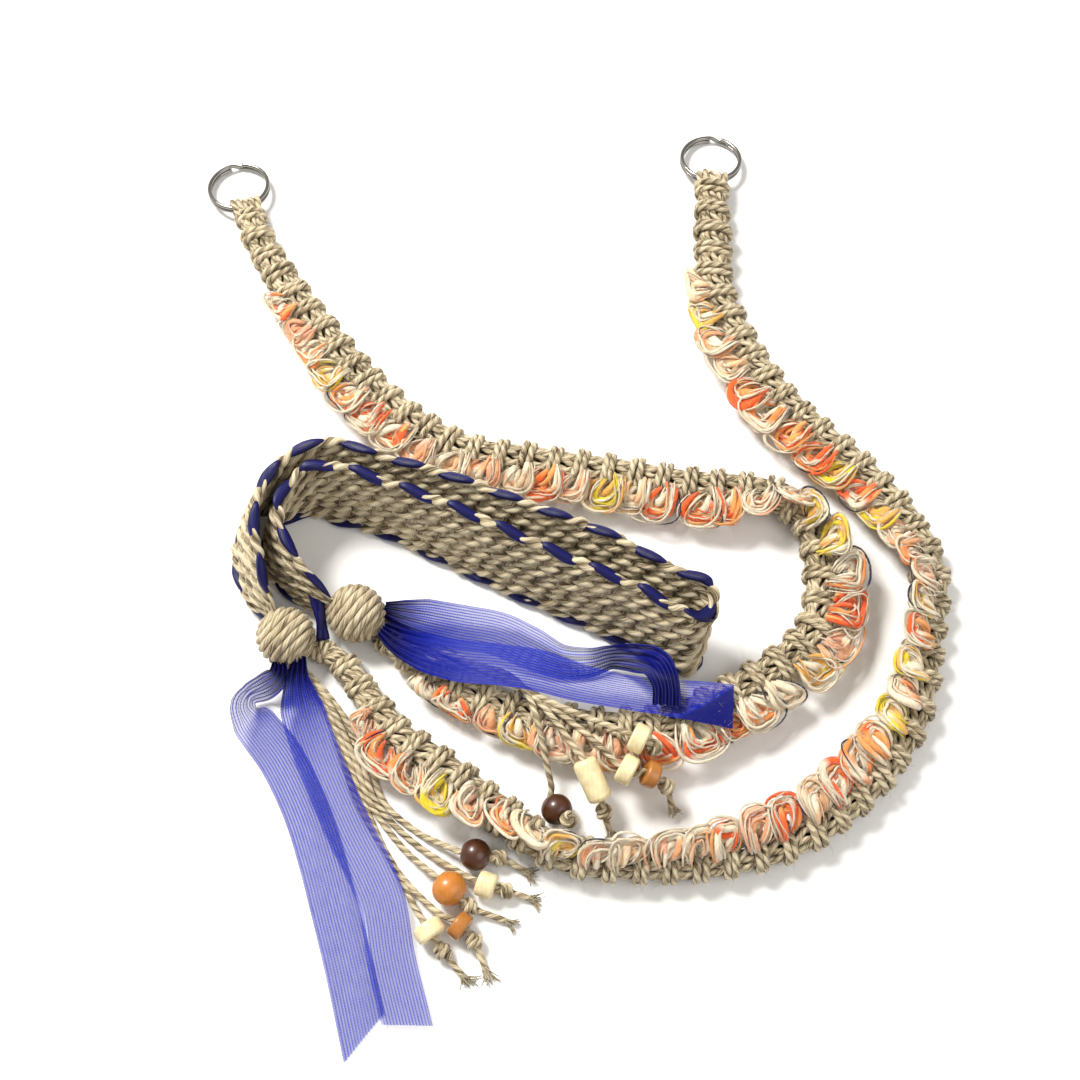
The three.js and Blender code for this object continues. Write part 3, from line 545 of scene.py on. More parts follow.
def tubes(
    paths, radius, toward, sides=8, lay=None, depth=0.17, flat=1.0, shear=0.0, start=0.0, tone=0.5, dye=None
):
    """A closed tube along each path, all with equally many stations. The ring at a station is its place
    plus radius times (cos a * side + flat * sin a * up) for a from 0 to a full turn, where up is toward made
    square to the path. In a laid cord the radius dips by depth between the two plies, which turn once in
    lay of length, counted from start. shear moves a ring's upper points ahead along the path, by that share
    of their rise."""
    paths = np.asarray(paths, float)
    strands, stations, _ = paths.shape
    tangent = unit(np.gradient(paths, axis=1))
    side = unit(np.cross(tangent, np.broadcast_to(toward, paths.shape)))
    up = np.cross(side, tangent)
    far = lengths(paths) + start
    angle = TURN * np.arange(sides) / sides
    ring = np.broadcast_to(np.asarray(radius, float), (strands, stations))[:, :, None] * np.ones(sides)
    if lay is not None:
        turn = angle - (TURN * far / lay)[:, :, None]
        ring = ring * (1 - depth * (0.5 - 0.5 * np.cos(2 * turn)))
    rise = (flat * np.sin(angle) * ring)[..., None]
    points = paths[:, :, None] + (np.cos(angle) * ring)[..., None] * side[:, :, None] + rise * up[:, :, None]
    points = points + shear * rise * tangent[:, :, None]
    block = stations * sides + 2
    points = np.concatenate([points.reshape(strands, -1, 3), paths[:, :1], paths[:, -1:]], axis=1)
    i = np.arange(stations - 1)[:, None] * sides + np.arange(sides)
    j = np.arange(stations - 1)[:, None] * sides + (np.arange(sides) + 1) % sides
    quads = np.stack([i, i + sides, j + sides, j], axis=-1).reshape(-1, 4)
    k = np.arange(sides)
    after = (k + 1) % sides
    last = (stations - 1) * sides
    first_pole = np.full(sides, stations * sides)
    tris = np.concatenate(
        [
            np.stack([first_pole, k, after], axis=-1),
            np.stack([first_pole + 1, last + after, last + k], axis=-1),
        ]
    )
    shift = (np.arange(strands) * block)[:, None, None]
    round_share = np.broadcast_to(np.arange(sides) / sides, (stations - 1, sides))
    edge = np.stack([round_share, round_share, round_share + 1 / sides, round_share + 1 / sides], axis=-1)
    ahead = np.stack([far[:, :-1], far[:, 1:], far[:, 1:], far[:, :-1]], axis=-1)[:, :, None, :]
    ahead = np.broadcast_to(ahead, (strands, stations - 1, sides, 4))
    quad_uv = np.stack([ahead / MM, np.broadcast_to(edge, ahead.shape)], axis=-1).reshape(-1, 4, 2)
    tip = np.zeros((strands, 2, sides, 3))
    tip[:, 1] = far[:, -1:, None] / MM
    tri_uv = np.stack([tip, np.zeros_like(tip)], axis=-1).reshape(-1, 3, 2)
    patch = {
        "points": points.reshape(-1, 3),
        "quads": (quads + shift).reshape(-1, 4),
        "tris": (tris + shift).reshape(-1, 3),
        "quad_uv": quad_uv,
        "tri_uv": tri_uv,
        "tone": np.repeat(np.broadcast_to(tone, strands), block),
    }
    if dye is not None:
        colour = np.broadcast_to(dye, (strands, stations, 3))
        whole = np.repeat(colour, sides, axis=1)
        whole = np.concatenate([whole, colour[:, :1], colour[:, -1:]], axis=1)
        patch["dye"] = whole.reshape(-1, 3)
    return patch


def together(*patches):
    """Several patches as one, their faces renumbered."""
    starts = np.cumsum([0] + [len(p["points"]) for p in patches[:-1]])
    whole = {}
    for key in patches[0]:
        parts = [p[key] + s if key in ("quads", "tris") else p[key] for p, s in zip(patches, starts)]
        whole[key] = np.concatenate(parts)
    return whole


def turned(profile, centre, axis, sides=40):
    """A closed profile of (radius, rise) points carried round an axis through the centre: each point is
    the centre plus rise along the axis plus radius times the turning arm."""
    axis = unit(np.asarray(axis, float))
    arm = unit(np.cross(axis, [0.31, 0.17, 0.93]))
    other = np.cross(axis, arm)
    angle = TURN * np.arange(sides) / sides
    spoke = np.cos(angle)[:, None] * arm + np.sin(angle)[:, None] * other
    points = centre + profile[None, :, 1:2] * axis + profile[None, :, 0:1] * spoke[:, None]
    count = len(profile)
    i = np.arange(sides)[:, None] * count + np.arange(count)
    j = np.arange(sides)[:, None] * count + (np.arange(count) + 1) % count
    wrap = ((np.arange(sides) + 1) % sides)[:, None] * count
    quads = np.stack([i, wrap + np.arange(count), wrap + (np.arange(count) + 1) % count, j], axis=-1)
    quads = quads.reshape(-1, 4)
    size = len(quads)
    return {
        "points": points.reshape(-1, 3),
        "quads": quads,
        "tris": np.zeros((0, 3), int),
        "quad_uv": np.zeros((size, 4, 2)),
        "tri_uv": np.zeros((0, 3, 2)),
        "tone": np.full(sides * count, 0.5),
    }


def pressed(paths, room):
    """Lowers what lies under the lower ribbon tail, to room below the height of the tail's nearest point.
    It is full under the tail and fades out over a quarter of the ribbon's width beside it."""
    flat = paths.reshape(-1, 3).copy()
    run = raised_run(RIBBONS["ribbon_tail_lower"], 3 * MM)
    apart = np.linalg.norm(flat[:, None, :2] - run.at[None, :, :2], axis=2)
    nearest = np.argmin(apart, axis=1)
    beyond = apart[np.arange(len(flat)), nearest] - RIBBON_WIDTH / 2
    fade = np.clip(beyond / (RIBBON_WIDTH / 4), 0, 1)
    ceiling = run.at[nearest, 2] - room + fade * SENNIT_HEIGHT
    flat[:, 2] = np.minimum(flat[:, 2], np.maximum(ceiling, room))
    return flat.reshape(paths.shape)


def sheet_patch(points, across, along, tone):
    """An open sheet over a grid of points, with its cloth coordinates in millimetres."""
    rows, columns, _ = points.shape
    i = np.arange(rows - 1)[:, None] * columns + np.arange(columns - 1)
    quads = np.stack([i, i + 1, i + columns + 1, i + columns], axis=-1).reshape(-1, 4)
    uv = np.stack([across, along], axis=-1).reshape(-1, 2) / MM
    return {
        "points": points.reshape(-1, 3),
        "quads": quads,
        "tris": np.zeros((0, 3), int),
        "quad_uv": uv[quads],
        "tri_uv": np.zeros((0, 3, 2)),
        "tone": tone.reshape(-1),
    }


def make_piece(name, patch, material, nodes=()):
    """Puts a patch into a mesh object with its UV map, tone and dye, and rides it on the strap. What would
    sink into the table lies flat on it instead."""
    patch["points"][:, 2] = np.maximum(patch["points"][:, 2], TABLE_GAP)
    mesh = bpy.data.meshes.new(name)
    quads, tris = patch["quads"], patch["tris"]
    mesh.vertices.add(len(patch["points"]))
    mesh.vertices.foreach_set("co", patch["points"].astype(np.float32).ravel())
    corners = np.concatenate([quads.ravel(), tris.ravel()]).astype(np.int32)
    mesh.loops.add(len(corners))
    mesh.loops.foreach_set("vertex_index", corners)
    mesh.polygons.add(len(quads) + len(tris))
    starts = np.concatenate([4 * np.arange(len(quads)), 4 * len(quads) + 3 * np.arange(len(tris))])
    mesh.polygons.foreach_set("loop_start", starts.astype(np.int32))
    mesh.polygons.foreach_set("use_smooth", np.ones(len(starts), bool))
    mesh.update(calc_edges=True)
    uv = mesh.uv_layers.new(name="run")
    corner_uv = np.concatenate([patch["quad_uv"].reshape(-1, 2), patch["tri_uv"].reshape(-1, 2)])
    uv.data.foreach_set("uv", corner_uv.astype(np.float32).ravel())
    tone = mesh.attributes.new("tone", "FLOAT", "POINT")
    tone.data.foreach_set("value", patch["tone"].astype(np.float32))
    if "dye" in patch:
        dye = mesh.attributes.new("dye", "FLOAT_COLOR", "POINT")
        colours = np.concatenate([patch["dye"], np.ones((len(patch["dye"]), 1))], axis=1)
        dye.data.foreach_set("color", colours.astype(np.float32).ravel())
    mesh.validate()
    mesh.materials.append(material)
    made = bpy.data.objects.new(name, mesh)
    bpy.context.collection.objects.link(made)
    if nodes:
        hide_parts(*nodes)
    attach(made, "root")
    return made


# ---- materials --------------------------------------------------------------------------------------


def linear(code):
    """An sRGB hex colour as a linear triple."""
    srgb = np.array([int(code[i : i + 2], 16) for i in (1, 3, 5)]) / 255
    return np.where(srgb <= 0.04045, srgb / 12.92, ((srgb + 0.055) / 1.055) ** 2.4)


def rgba(colour):
    """A linear colour with full alpha, as sockets and ramps take it."""
    return (*colour, 1.0)


def connect(tree, node, inputs):
    """Sets inputs of a node, or links them to a socket or to another node's first output. A tuple fills
    the first ones, and a dict names its own."""
    for key, value in inputs.items() if isinstance(inputs, dict) else enumerate(inputs):
        if isinstance(value, bpy.types.Node):
            value = value.outputs[0]
        if isinstance(value, bpy.types.NodeSocket):
            tree.links.new(value, node.inputs[key])
        else:
            node.inputs[key].default_value = value


def add(tree, kind, inputs=(), **settings):
    """Adds one node with its settings, and sets or links its inputs."""
    made = tree.nodes.new(f"ShaderNode{kind}")
    for key, value in settings.items():
        setattr(made, key, value)
    connect(tree, made, inputs)
    return made


def blank(name):
    """A new material with its node tree and its shader."""
    made = bpy.data.materials.new(name)
    made.use_nodes = True
    return made, made.node_tree, made.node_tree.nodes["Principled BSDF"]


def summed(tree, level, *signals):
    """A level plus the sum of the signals, each times its share."""
    for signal, share in signals:
        level = add(tree, "Math", (signal, share, level), operation="MULTIPLY_ADD")
    return level


def drawn_noise(tree, vector, scale, detail, roughness=0.5):
    """Noise drawn out along fibres or creases: scale says how often it changes in a unit of each axis."""
    drawn = add(tree, "Mapping", {"Vector": vector, "Scale": scale})
    inputs = {"Vector": drawn, "Scale": 1.0, "Detail": detail, "Roughness": roughness}
    return add(tree, "TexNoise", inputs)


def set_stops(ramp, dark, light, middle=None):
    """Gives a colour ramp its two ends and what lies between them, each a place and a linear colour."""
    for stop, (place, colour) in zip(ramp.color_ramp.elements, (dark, light)):
        stop.position, stop.color = place, rgba(colour)
    if middle:
        ramp.color_ramp.elements.new(middle[0]).color = rgba(middle[1])


def laid_cord(name, shadow, body, lit, lay, ply_shade, fibres):
    """Two-ply plant fibre cord: the plies wind round it, and fine fibres run along each ply with stray
    lighter and darker ones, so it looks matt with a faint silky glint. One fibre shows for FIBRE_SHOWS, and
    lighter and darker patches lie as far apart. The wave of the plies also paints light and shade: the gap
    between the plies is darker, a painted shade, and their crests are lighter, a painted highlight. The
    argument after lay says how dark that painted shade is, and fibres is how many lie side by side once
    round the cord, far fewer than real ones so that they show. shadow is the colour of the darkest fibres
    and of the painted shade, and lit that of the lightest fibres and of the painted highlight."""
    made, tree, shader = blank(name)
    ahead, around, _ = add(tree, "SeparateXYZ", (add(tree, "UVMap", uv_map="run"),)).outputs
    tone = add(tree, "Attribute", attribute_name="tone").outputs["Fac"]
    turn = summed(tree, around, (ahead, -MM / lay))
    wave = add(tree, "Math", (summed(tree, 0.0, (turn, 2 * TURN)),), operation="COSINE")
    ply = summed(tree, 0.5, (wave, 0.5))
    strand = add(tree, "CombineXYZ", (ahead, turn, tone))
    fibre = drawn_noise(tree, strand, (MM / FIBRE_SHOWS, fibres, 90.0), detail=3.0, roughness=0.6)
    place = add(tree, "TexCoord").outputs["Object"]
    patchy = add(tree, "TexNoise", {"Vector": place, "Scale": 1 / FIBRE_SHOWS, "Detail": 2.0})
    # The ply wave paints shade in the gaps between the plies and a highlight on their crests. The fibre, tone
    # and patchy terms are the cord's own lighter and darker fibres and patches.
    shade = summed(tree, -0.84 - ply_shade / 2, (ply, ply_shade), (fibre, 1.9), (tone, 0.22), (patchy, 0.7))
    ramp = add(tree, "ValToRGB", (shade,))
    set_stops(ramp, (0.18, shadow), (0.85, lit), (0.5, body))
    height = summed(tree, 0.0, (ply, 0.5), (fibre, 0.9))
    bump = add(tree, "Bump", {"Height": height, "Strength": 1.0, "Distance": 0.35 * MM})
    finish = {"Roughness": 0.78, "Sheen Weight": 0.15, "Specular IOR Level": 0.3}
    connect(tree, shader, {"Base Color": ramp, "Normal": bump, **finish})
    return made


def dyed_yarn():
    """Soft slub yarn, space-dyed: loose wool and cotton fibres lie along it and blur its edge, and light
    goes a little way into it. A fibre shows for about 3 mm, 22 of them once round a strand."""
    made, tree, shader = blank("slub yarn")
    ahead, around, _ = add(tree, "SeparateXYZ", (add(tree, "UVMap", uv_map="run"),)).outputs
    tone = add(tree, "Attribute", attribute_name="tone").outputs["Fac"]
    dye = add(tree, "Attribute", attribute_name="dye").outputs["Color"]
    strand = add(tree, "CombineXYZ", (ahead, summed(tree, around, (ahead, 0.11)), tone))
    fibre = drawn_noise(tree, strand, (0.3, 22.0, 70.0), detail=4.0, roughness=0.65)
    shade = add(tree, "ValToRGB", (fibre,))
    set_stops(shade, (0.3, (0.66, 0.6, 0.56)), (0.52, (1.0, 1.0, 1.0)))
    both = {"Factor": 1.0, 6: dye, 7: shade}
    colour = add(tree, "Mix", both, data_type="RGBA", blend_type="MULTIPLY").outputs[2]
    bump = add(tree, "Bump", {"Height": fibre, "Strength": 1.0, "Distance": 0.4 * MM})
    finish = {"Roughness": 0.85, "Sheen Weight": 0.25, "Specular IOR Level": 0.2}
    scatter = {"Subsurface Weight": 0.3, "Subsurface Radius": (2 * MM, 1.5 * MM, 1 * MM)}
    connect(tree, shader, {"Base Color": colour, "Normal": bump, **finish, **scatter})
    return made


def gathered_ribbon(colour, glint):
    """Organza gathered tight in the weave: many layers make it a dense royal blue. Silky glints, a painted
    highlight, lie along its creases, which are about 8 mm long and lie 26 side by side round a float."""
    made, tree, shader = blank("gathered ribbon")
    crease = drawn_noise(tree, add(tree, "UVMap", uv_map="run"), (0.12, 26.0, 1.0), detail=3.0)
    # The crease noise paints the glints: a painted highlight running from the base colour up to the glint
    # colour.
    ramp = add(tree, "ValToRGB", (crease,))
    set_stops(ramp, (0.5, colour), (0.85, glint))
    bump = add(tree, "Bump", {"Height": crease, "Strength": 0.7, "Distance": 0.3 * MM})
    finish = {"Roughness": 0.42, "Specular IOR Level": 0.3}
    connect(tree, shader, {"Base Color": ramp, "Normal": bump, **finish})
    return made


def organza(colour, dense):
    """Sheer nylon organza: a thin open weave with a denser line every RIBBON_LINE across, selvedges and
    gathers denser still, so the floor and the cords show through it. The lines are drawn far coarser than
    the real threads, so that they show."""
    made, tree, shader = blank("organza")
    cloth = add(tree, "UVMap", uv_map="run")
    across, along, _ = add(tree, "SeparateXYZ", (cloth,)).outputs
    layers = add(tree, "Attribute", attribute_name="tone").outputs["Fac"]
    wave = add(tree, "Math", (summed(tree, 0.0, (across, TURN * MM / RIBBON_LINE)),), operation="COSINE")
    line = add(tree, "Math", (summed(tree, 0.5, (wave, 0.5)), 2.0), operation="POWER")
    aside = add(tree, "Math", (across,), operation="ABSOLUTE")
    edge = add(tree, "Math", (aside, (RIBBON_WIDTH / 2 - SELVEDGE) / MM), operation="GREATER_THAN")
    slub = drawn_noise(tree, cloth, (2.2, 0.25, 1.0), detail=2.0)
    weft = add(tree, "Math", (summed(tree, 0.0, (along, TURN * MM / WEFT)),), operation="SINE")
    open_share = summed(tree, 0.63, (line, -0.38), (slub, -0.22), (weft, 0.03), (edge, -0.12))
    open_share = add(tree, "Math", (open_share, 0.05), operation="MAXIMUM")
    through = add(tree, "Math", (open_share, layers), operation="POWER")
    alpha = add(tree, "Math", (1.0, through), operation="SUBTRACT")
    depth = add(tree, "MapRange", (layers, 1.0, 4.5))
    both = {"Factor": depth, 6: rgba(colour), 7: rgba(dense)}
    shade = add(tree, "Mix", both, data_type="RGBA").outputs[2]
    bump = add(tree, "Bump", {"Height": line, "Strength": 0.2, "Distance": 0.1 * MM})
    finish = {"Roughness": 0.5, "Specular IOR Level": 0.15}
    connect(tree, shader, {"Base Color": shade, "Alpha": alpha, "Normal": bump, **finish})
    return made


def lacquered_wood(name, code):
    """Turned wooden bead: faint darker grain in bands 1.2 mm apart, bent and mottled over about 2.6 mm,
    under a clear lacquer."""
    made, tree, shader = blank(name)
    place = add(tree, "TexCoord").outputs["Object"]
    mottle = add(tree, "TexNoise", {"Vector": place, "Scale": 380.0, "Detail": 3.0})
    bands = {"Vector": place, "Scale": 260.0, "Distortion": 5.0, "Detail": 2.0}
    rings = add(tree, "TexWave", bands).outputs["Fac"]
    ramp = add(tree, "ValToRGB", (summed(tree, 0.0, (mottle, 0.95), (rings, 0.1)),))
    set_stops(ramp, (0.2, linear(code) * 0.7), (0.7, linear(code)))
    connect(tree, shader, {"Base Color": ramp, "Roughness": 0.4, "Coat Weight": 0.35, "Coat Roughness": 0.12})
    return made


def ring_steel():
    """Nickel-plated spring steel wire, drawn and polished: fine scuffs, about 1 mm apart, vary its gloss."""
    made, tree, shader = blank("plated steel wire")
    place = add(tree, "TexCoord").outputs["Object"]
    scuff = add(tree, "TexNoise", {"Vector": place, "Scale": 0.9 / MM, "Detail": 4.0})
    gloss = summed(tree, 0.12, (scuff, 0.22))
    connect(tree, shader, {"Base Color": rgba(linear("#8e8a85")), "Metallic": 1.0, "Roughness": gloss})
    return made


def floor_paper():
    """Matt white paper: it takes the shadows and shines nowhere."""
    made, tree, shader = blank("white paper")
    white = rgba((0.93, 0.925, 0.915))
    connect(tree, shader, {"Base Color": white, "Roughness": 0.9, "Specular IOR Level": 0.1})
    return made


# ---- the strap's parts ------------------------------------------------------------------------------


def arm_run(side, step=0.9 * MM):
    """An arm's route on the table, with its columns."""
    rows = ARMS[side]
    return Run(plan(rows["across"], rows["along"], np.zeros(len(rows["across"]))), step, rows)


def squared(angle, power=0.8):
    """Across and up shares of a squarish ring: the cosine and sine with their sizes raised to a power."""
    c, s = np.cos(angle), np.sin(angle)
    return np.sign(c) * np.abs(c) ** power, np.sign(s) * np.abs(s) ** power


def round_arm(run, far, angle, out, cord, inset, girth):
    """Places round a squarish ring as wide and high as the sennit at that girth. A cord lies inside it, at
    the share out from the middle, inset from its sides and never under the table."""
    wide, high = squared(angle)
    left = wide * out * (SENNIT_WIDTH * girth - inset) / 2
    up = SENNIT_HEIGHT * girth / 2 + high * out * (SENNIT_HEIGHT * girth - cord) / 2
    return run.beside(far, left, np.maximum(up, cord / 2))


def knot_wraps(run, rng, cord):
    """The knots' turns of cord. Each knot has two turns side by side. A turn goes once round a squarish ring
    as wide and high as the sennit, leans along the run as it goes, and tucks both ends in underneath."""
    count = round(run.length / KNOT_PITCH)
    middle = (np.arange(count) + 0.5) * run.length / count
    start = (middle[:, None] + np.array([-0.52, 0.52]) * cord).ravel()
    start = start + rng.uniform(-0.25, 0.25, len(start)) * MM
    from_top = np.linspace(-1, 1, STATIONS["turn of cord"]) * (TURN / 2 + 0.35)
    angle = TURN / 4 + from_top
    tuck = np.clip((np.abs(from_top) - 0.46 * TURN) / (0.1 * TURN), 0, 1)
    girth = run.column("girth", start)[:, None] * rng.uniform(0.97, 1.06, (len(start), 1))
    lean = rng.uniform(0.4, 1.0, (len(start), 1)) * MM
    far = np.clip(start[:, None] + lean * np.cos(angle)[None, :] + 0.12 * MM * angle[None, :], 0, run.length)
    paths = round_arm(run, far, angle[None, :], 1 - 0.5 * tuck, cord, 0.7 * cord, girth)
    paths = pressed(paths, 0.9 * cord)
    tone = rng.uniform(0.2, 1, len(start))
    return tubes(paths, cord * 0.54, unit(run.read(run.tangent, far)), lay=CORD_LAY, tone=tone)


def core_strands(run, rng, cord, strands=CORE_STRANDS):
    """The cords that run lengthwise inside the turns, a little sunk under them. They bulge between knots and
    sway round the sennit, each in its own time."""
    pitch = run.length / round(run.length / KNOT_PITCH)
    far = np.broadcast_to(run.far, (strands, len(run.far)))
    place = (TURN * np.arange(strands) / strands)[:, None]
    phase = rng.uniform(0, TURN, (strands, 1))
    angle = place + 0.16 * np.sin(TURN * far / pitch + phase)
    bulge = 0.5 + 0.5 * np.cos(TURN * far / pitch)
    out = 0.68 + 0.12 * bulge + 0.02 * np.sin(TURN * far / (3.1 * pitch) + phase)
    paths = round_arm(run, far, angle, out, cord, cord, run.column("girth", far))
    return tubes(paths, cord / 2, UP + 0.01, sides=7, lay=CORD_LAY * 1.1, tone=rng.uniform(0, 0.8, strands))


def stray_fibres(starts, outward, rng, length, radius, dye=None):
    """Loose pale hairs: each leaves its start outward and bends to one side as the square of its length."""
    count = len(starts)
    stations = 4
    share = np.linspace(0, 1, stations)[None, :, None]
    reach = length * rng.uniform(0.4, 1.0, (count, 1, 1))
    bend = unit(rng.normal(size=(count, 3)))[:, None]
    aim = unit(outward + 0.7 * rng.normal(size=(count, 3)))[:, None]
    paths = starts[:, None] + reach * (share * aim + 0.8 * share**2 * bend)
    paths[..., 2] = np.maximum(paths[..., 2], 0.1 * MM)
    taper = radius * (1 - 0.7 * share[..., 0])
    colour = None if dye is None else np.repeat(dye[:, None], stations, axis=1)
    return tubes(paths, taper, [0.23, 0.41, 0.88], sides=3, tone=0.9, dye=colour)


def ring_frame(side):
    """The ring's centre, its arm towards the far side, its side and its normal, and its mean radius. The
    near side runs through the arm's end loop and the far side lies on the table."""
    run = arm_run(side)
    away = -run.tangent[0]
    radius = (RING_DIAMETER - RING_WIRE) / 2
    stack = 2 * RING_WIRE + TURN_GAP
    near = SENNIT_HEIGHT * END_GIRTH[side] / 2
    tilt = math.asin((near - stack / 2) / (2 * radius))
    along = away * math.cos(tilt) - UP * math.sin(tilt)
    across = unit(np.cross(UP, away))
    normal = unit(np.cross(along, across))
    centre = run.at[0] + UP * near + along * radius + normal * (RING_WIRE / 2) * math.sin(tilt)
    return centre, along, across, normal, radius


def split_ring(side):
    """Two flat turns of round wire, one on the other: the height is a smooth step where one turn goes over
    into the other, and the upper turn ends where the step begins."""
    centre, along, across, normal, radius = ring_frame(side)
    angle = np.linspace(0, 2 * TURN - TURN / 16, STATIONS["split ring"])
    step = np.clip((angle - TURN * 15 / 16) / (TURN / 16), 0, 1)
    height = (step * step * (3 - 2 * step) - 0.5) * (RING_WIRE + TURN_GAP)
    path = (
        centre
        + radius * (np.cos(angle)[:, None] * along + np.sin(angle)[:, None] * across)
        + height[:, None] * normal
    )
    return tubes(path[None], RING_WIRE / 2, normal, sides=12)


def end_loops(side, rng, cord):
    """The cords that hold the ring, side by side and a little uneven. Each comes up along the sennit, goes
    half round the wire and comes back above, as a half circle with two straight legs that draw in."""
    run = arm_run(side)
    near = SENNIT_HEIGHT * END_GIRTH[side] / 2
    share = np.linspace(-2.6, 2.6, STATIONS["end loop"])
    bend = np.clip(share, -1, 1) * TURN / 4
    leg = np.maximum(np.abs(share) - 1, 0)
    size = RING_WIRE + 0.35 * MM + cord / 2
    ahead = -size * np.cos(bend) + leg * 6 * MM
    rise = near + size * np.sin(bend) - np.sign(share) * leg * 0.5 * MM
    offsets = np.linspace(-1, 1, END_LOOPS) * (SENNIT_WIDTH * END_GIRTH[side] / 2 - cord * 0.55)
    uneven = rng.uniform(-0.5, 0.5, (2, END_LOOPS, 1)) * MM
    left = offsets[:, None] * (1 - 0.12 * leg[None, :]) + uneven[0] * leg
    at, away, beside = run.at[0], -run.tangent[0], run.left[0]
    paths = at - away * (ahead - 1.4 * uneven[1] * (1 - leg))[..., None] + beside * left[..., None]
    paths = paths + UP * np.broadcast_to(rise, left.shape)[..., None]
    return tubes(paths, cord / 2, beside, lay=CORD_LAY, tone=rng.uniform(0, 1, len(offsets)))


def sennit(side, rng, cord):
    """A knotted arm: its turns, its core, the loops at its ring and its stray fibres."""
    run = arm_run(side)
    wraps = knot_wraps(run, rng, cord)
    hairs = rng.choice(len(wraps["points"]), ARM_FIBRES, replace=False)
    starts = wraps["points"][hairs]
    middle = run.at[np.argmin(np.linalg.norm(starts[:, None, :2] - run.at[None, :, :2], axis=2), axis=1)]
    outward = unit(starts - middle - UP * SENNIT_HEIGHT / 2)
    fibres = stray_fibres(starts, outward, rng, length=3 * MM, radius=0.045 * MM)
    return together(wraps, core_strands(run, rng, cord), end_loops(side, rng, cord), fibres)


# The two dyes of each letter, and the cream and navy of single strands.
DYE_CODES = {
    "o": ("#ff6a2c", "#fcab60"),
    "y": ("#f4dc34", "#fcbc5c"),
    "p": ("#fdb480", "#f6b894"),
    "c": ("#f5dcb8", "#fac898"),
    "n": ("#fb9850", "#f4e2c4"),
}
CREAM, NAVY = "#f6e8cc", "#1d1d38"

# The strands of a scallop, outermost first. size is the share of the whole scallop, thick the strand's
# radius and high how far it rides over the sennit, both in millimetres, flat its flattening and dye
# 0 for cream, 1 or 2 for the loop's two dyes and 3 for navy.
SCALLOP = table(
    "size thick high flat dye",
    [
        (1.0, 0.5, 0.9, 1.0, 0),
        (0.93, 0.45, 1.3, 1.0, 0),
        (1.03, 0.3, 1.1, 1.0, 3),
        (0.86, 1.0, 1.0, 0.75, 1),
        (0.76, 1.2, 1.3, 0.7, 1),
        (0.66, 1.2, 1.0, 0.7, 2),
        (0.56, 1.3, 1.5, 0.7, 1),
        (0.46, 1.3, 1.3, 0.7, 2),
        (0.36, 1.4, 1.7, 0.7, 2),
        (0.95, 0.38, 2.0, 1.0, 0),
        (0.78, 0.42, 2.2, 1.0, 0),
        (0.6, 0.4, 2.4, 1.0, 0),
        (0.45, 0.38, 2.6, 1.0, 2),
    ],
)


def round_sennit(angle, girth):
    """How far the sennit's surface lies from its middle, at an angle from its left: a squarish oval."""
    wide = np.abs(np.cos(angle)) / (SENNIT_WIDTH / 2)
    high = np.abs(np.sin(angle)) / (SENNIT_HEIGHT / 2)
    return girth * (wide**2.5 + high**2.5) ** (-1 / 2.5)


def scallop_dyes(letters, arch, rng):
    """Each strand's colour along its arch. A strand has a dye of its own, and by chance another one takes
    over along a slub, a sine cut off below 0 and above 1. Cream comes in most, and navy in the n loops."""
    cream, first, second, navy = range(4)
    shades = [[CREAM, *DYE_CODES[letter], NAVY] for letter in letters]
    shades = np.array([[linear(code) for code in row] for row in shades])
    kind = np.broadcast_to(SCALLOP["dye"].astype(int), (len(letters), len(SCALLOP["dye"]))).copy()
    chance = rng.uniform(size=kind.shape)
    kind[(kind == navy) & (letters[:, None] != "n") & (chance > 0.4)] = cream
    kind[(kind == first) & (chance > 0.85)] = second
    kind[(kind == cream) & (chance > 0.85)] = second
    kind[(kind == second) & (chance < 0.35)] = cream
    other = np.where(kind == navy, cream, rng.integers(cream - 1, navy, kind.shape).clip(cream))
    mine, theirs = (shades[np.arange(len(letters))[:, None], k][:, :, None] for k in (kind, other))
    slub = np.clip(1.6 * np.sin(3.1 * arch + rng.uniform(0, TURN, (*kind.shape, 1))), 0, 1)[..., None]
    return (mine + (theirs - mine) * slub) * rng.uniform(0.9, 1.08, (*kind.shape, 1, 1))


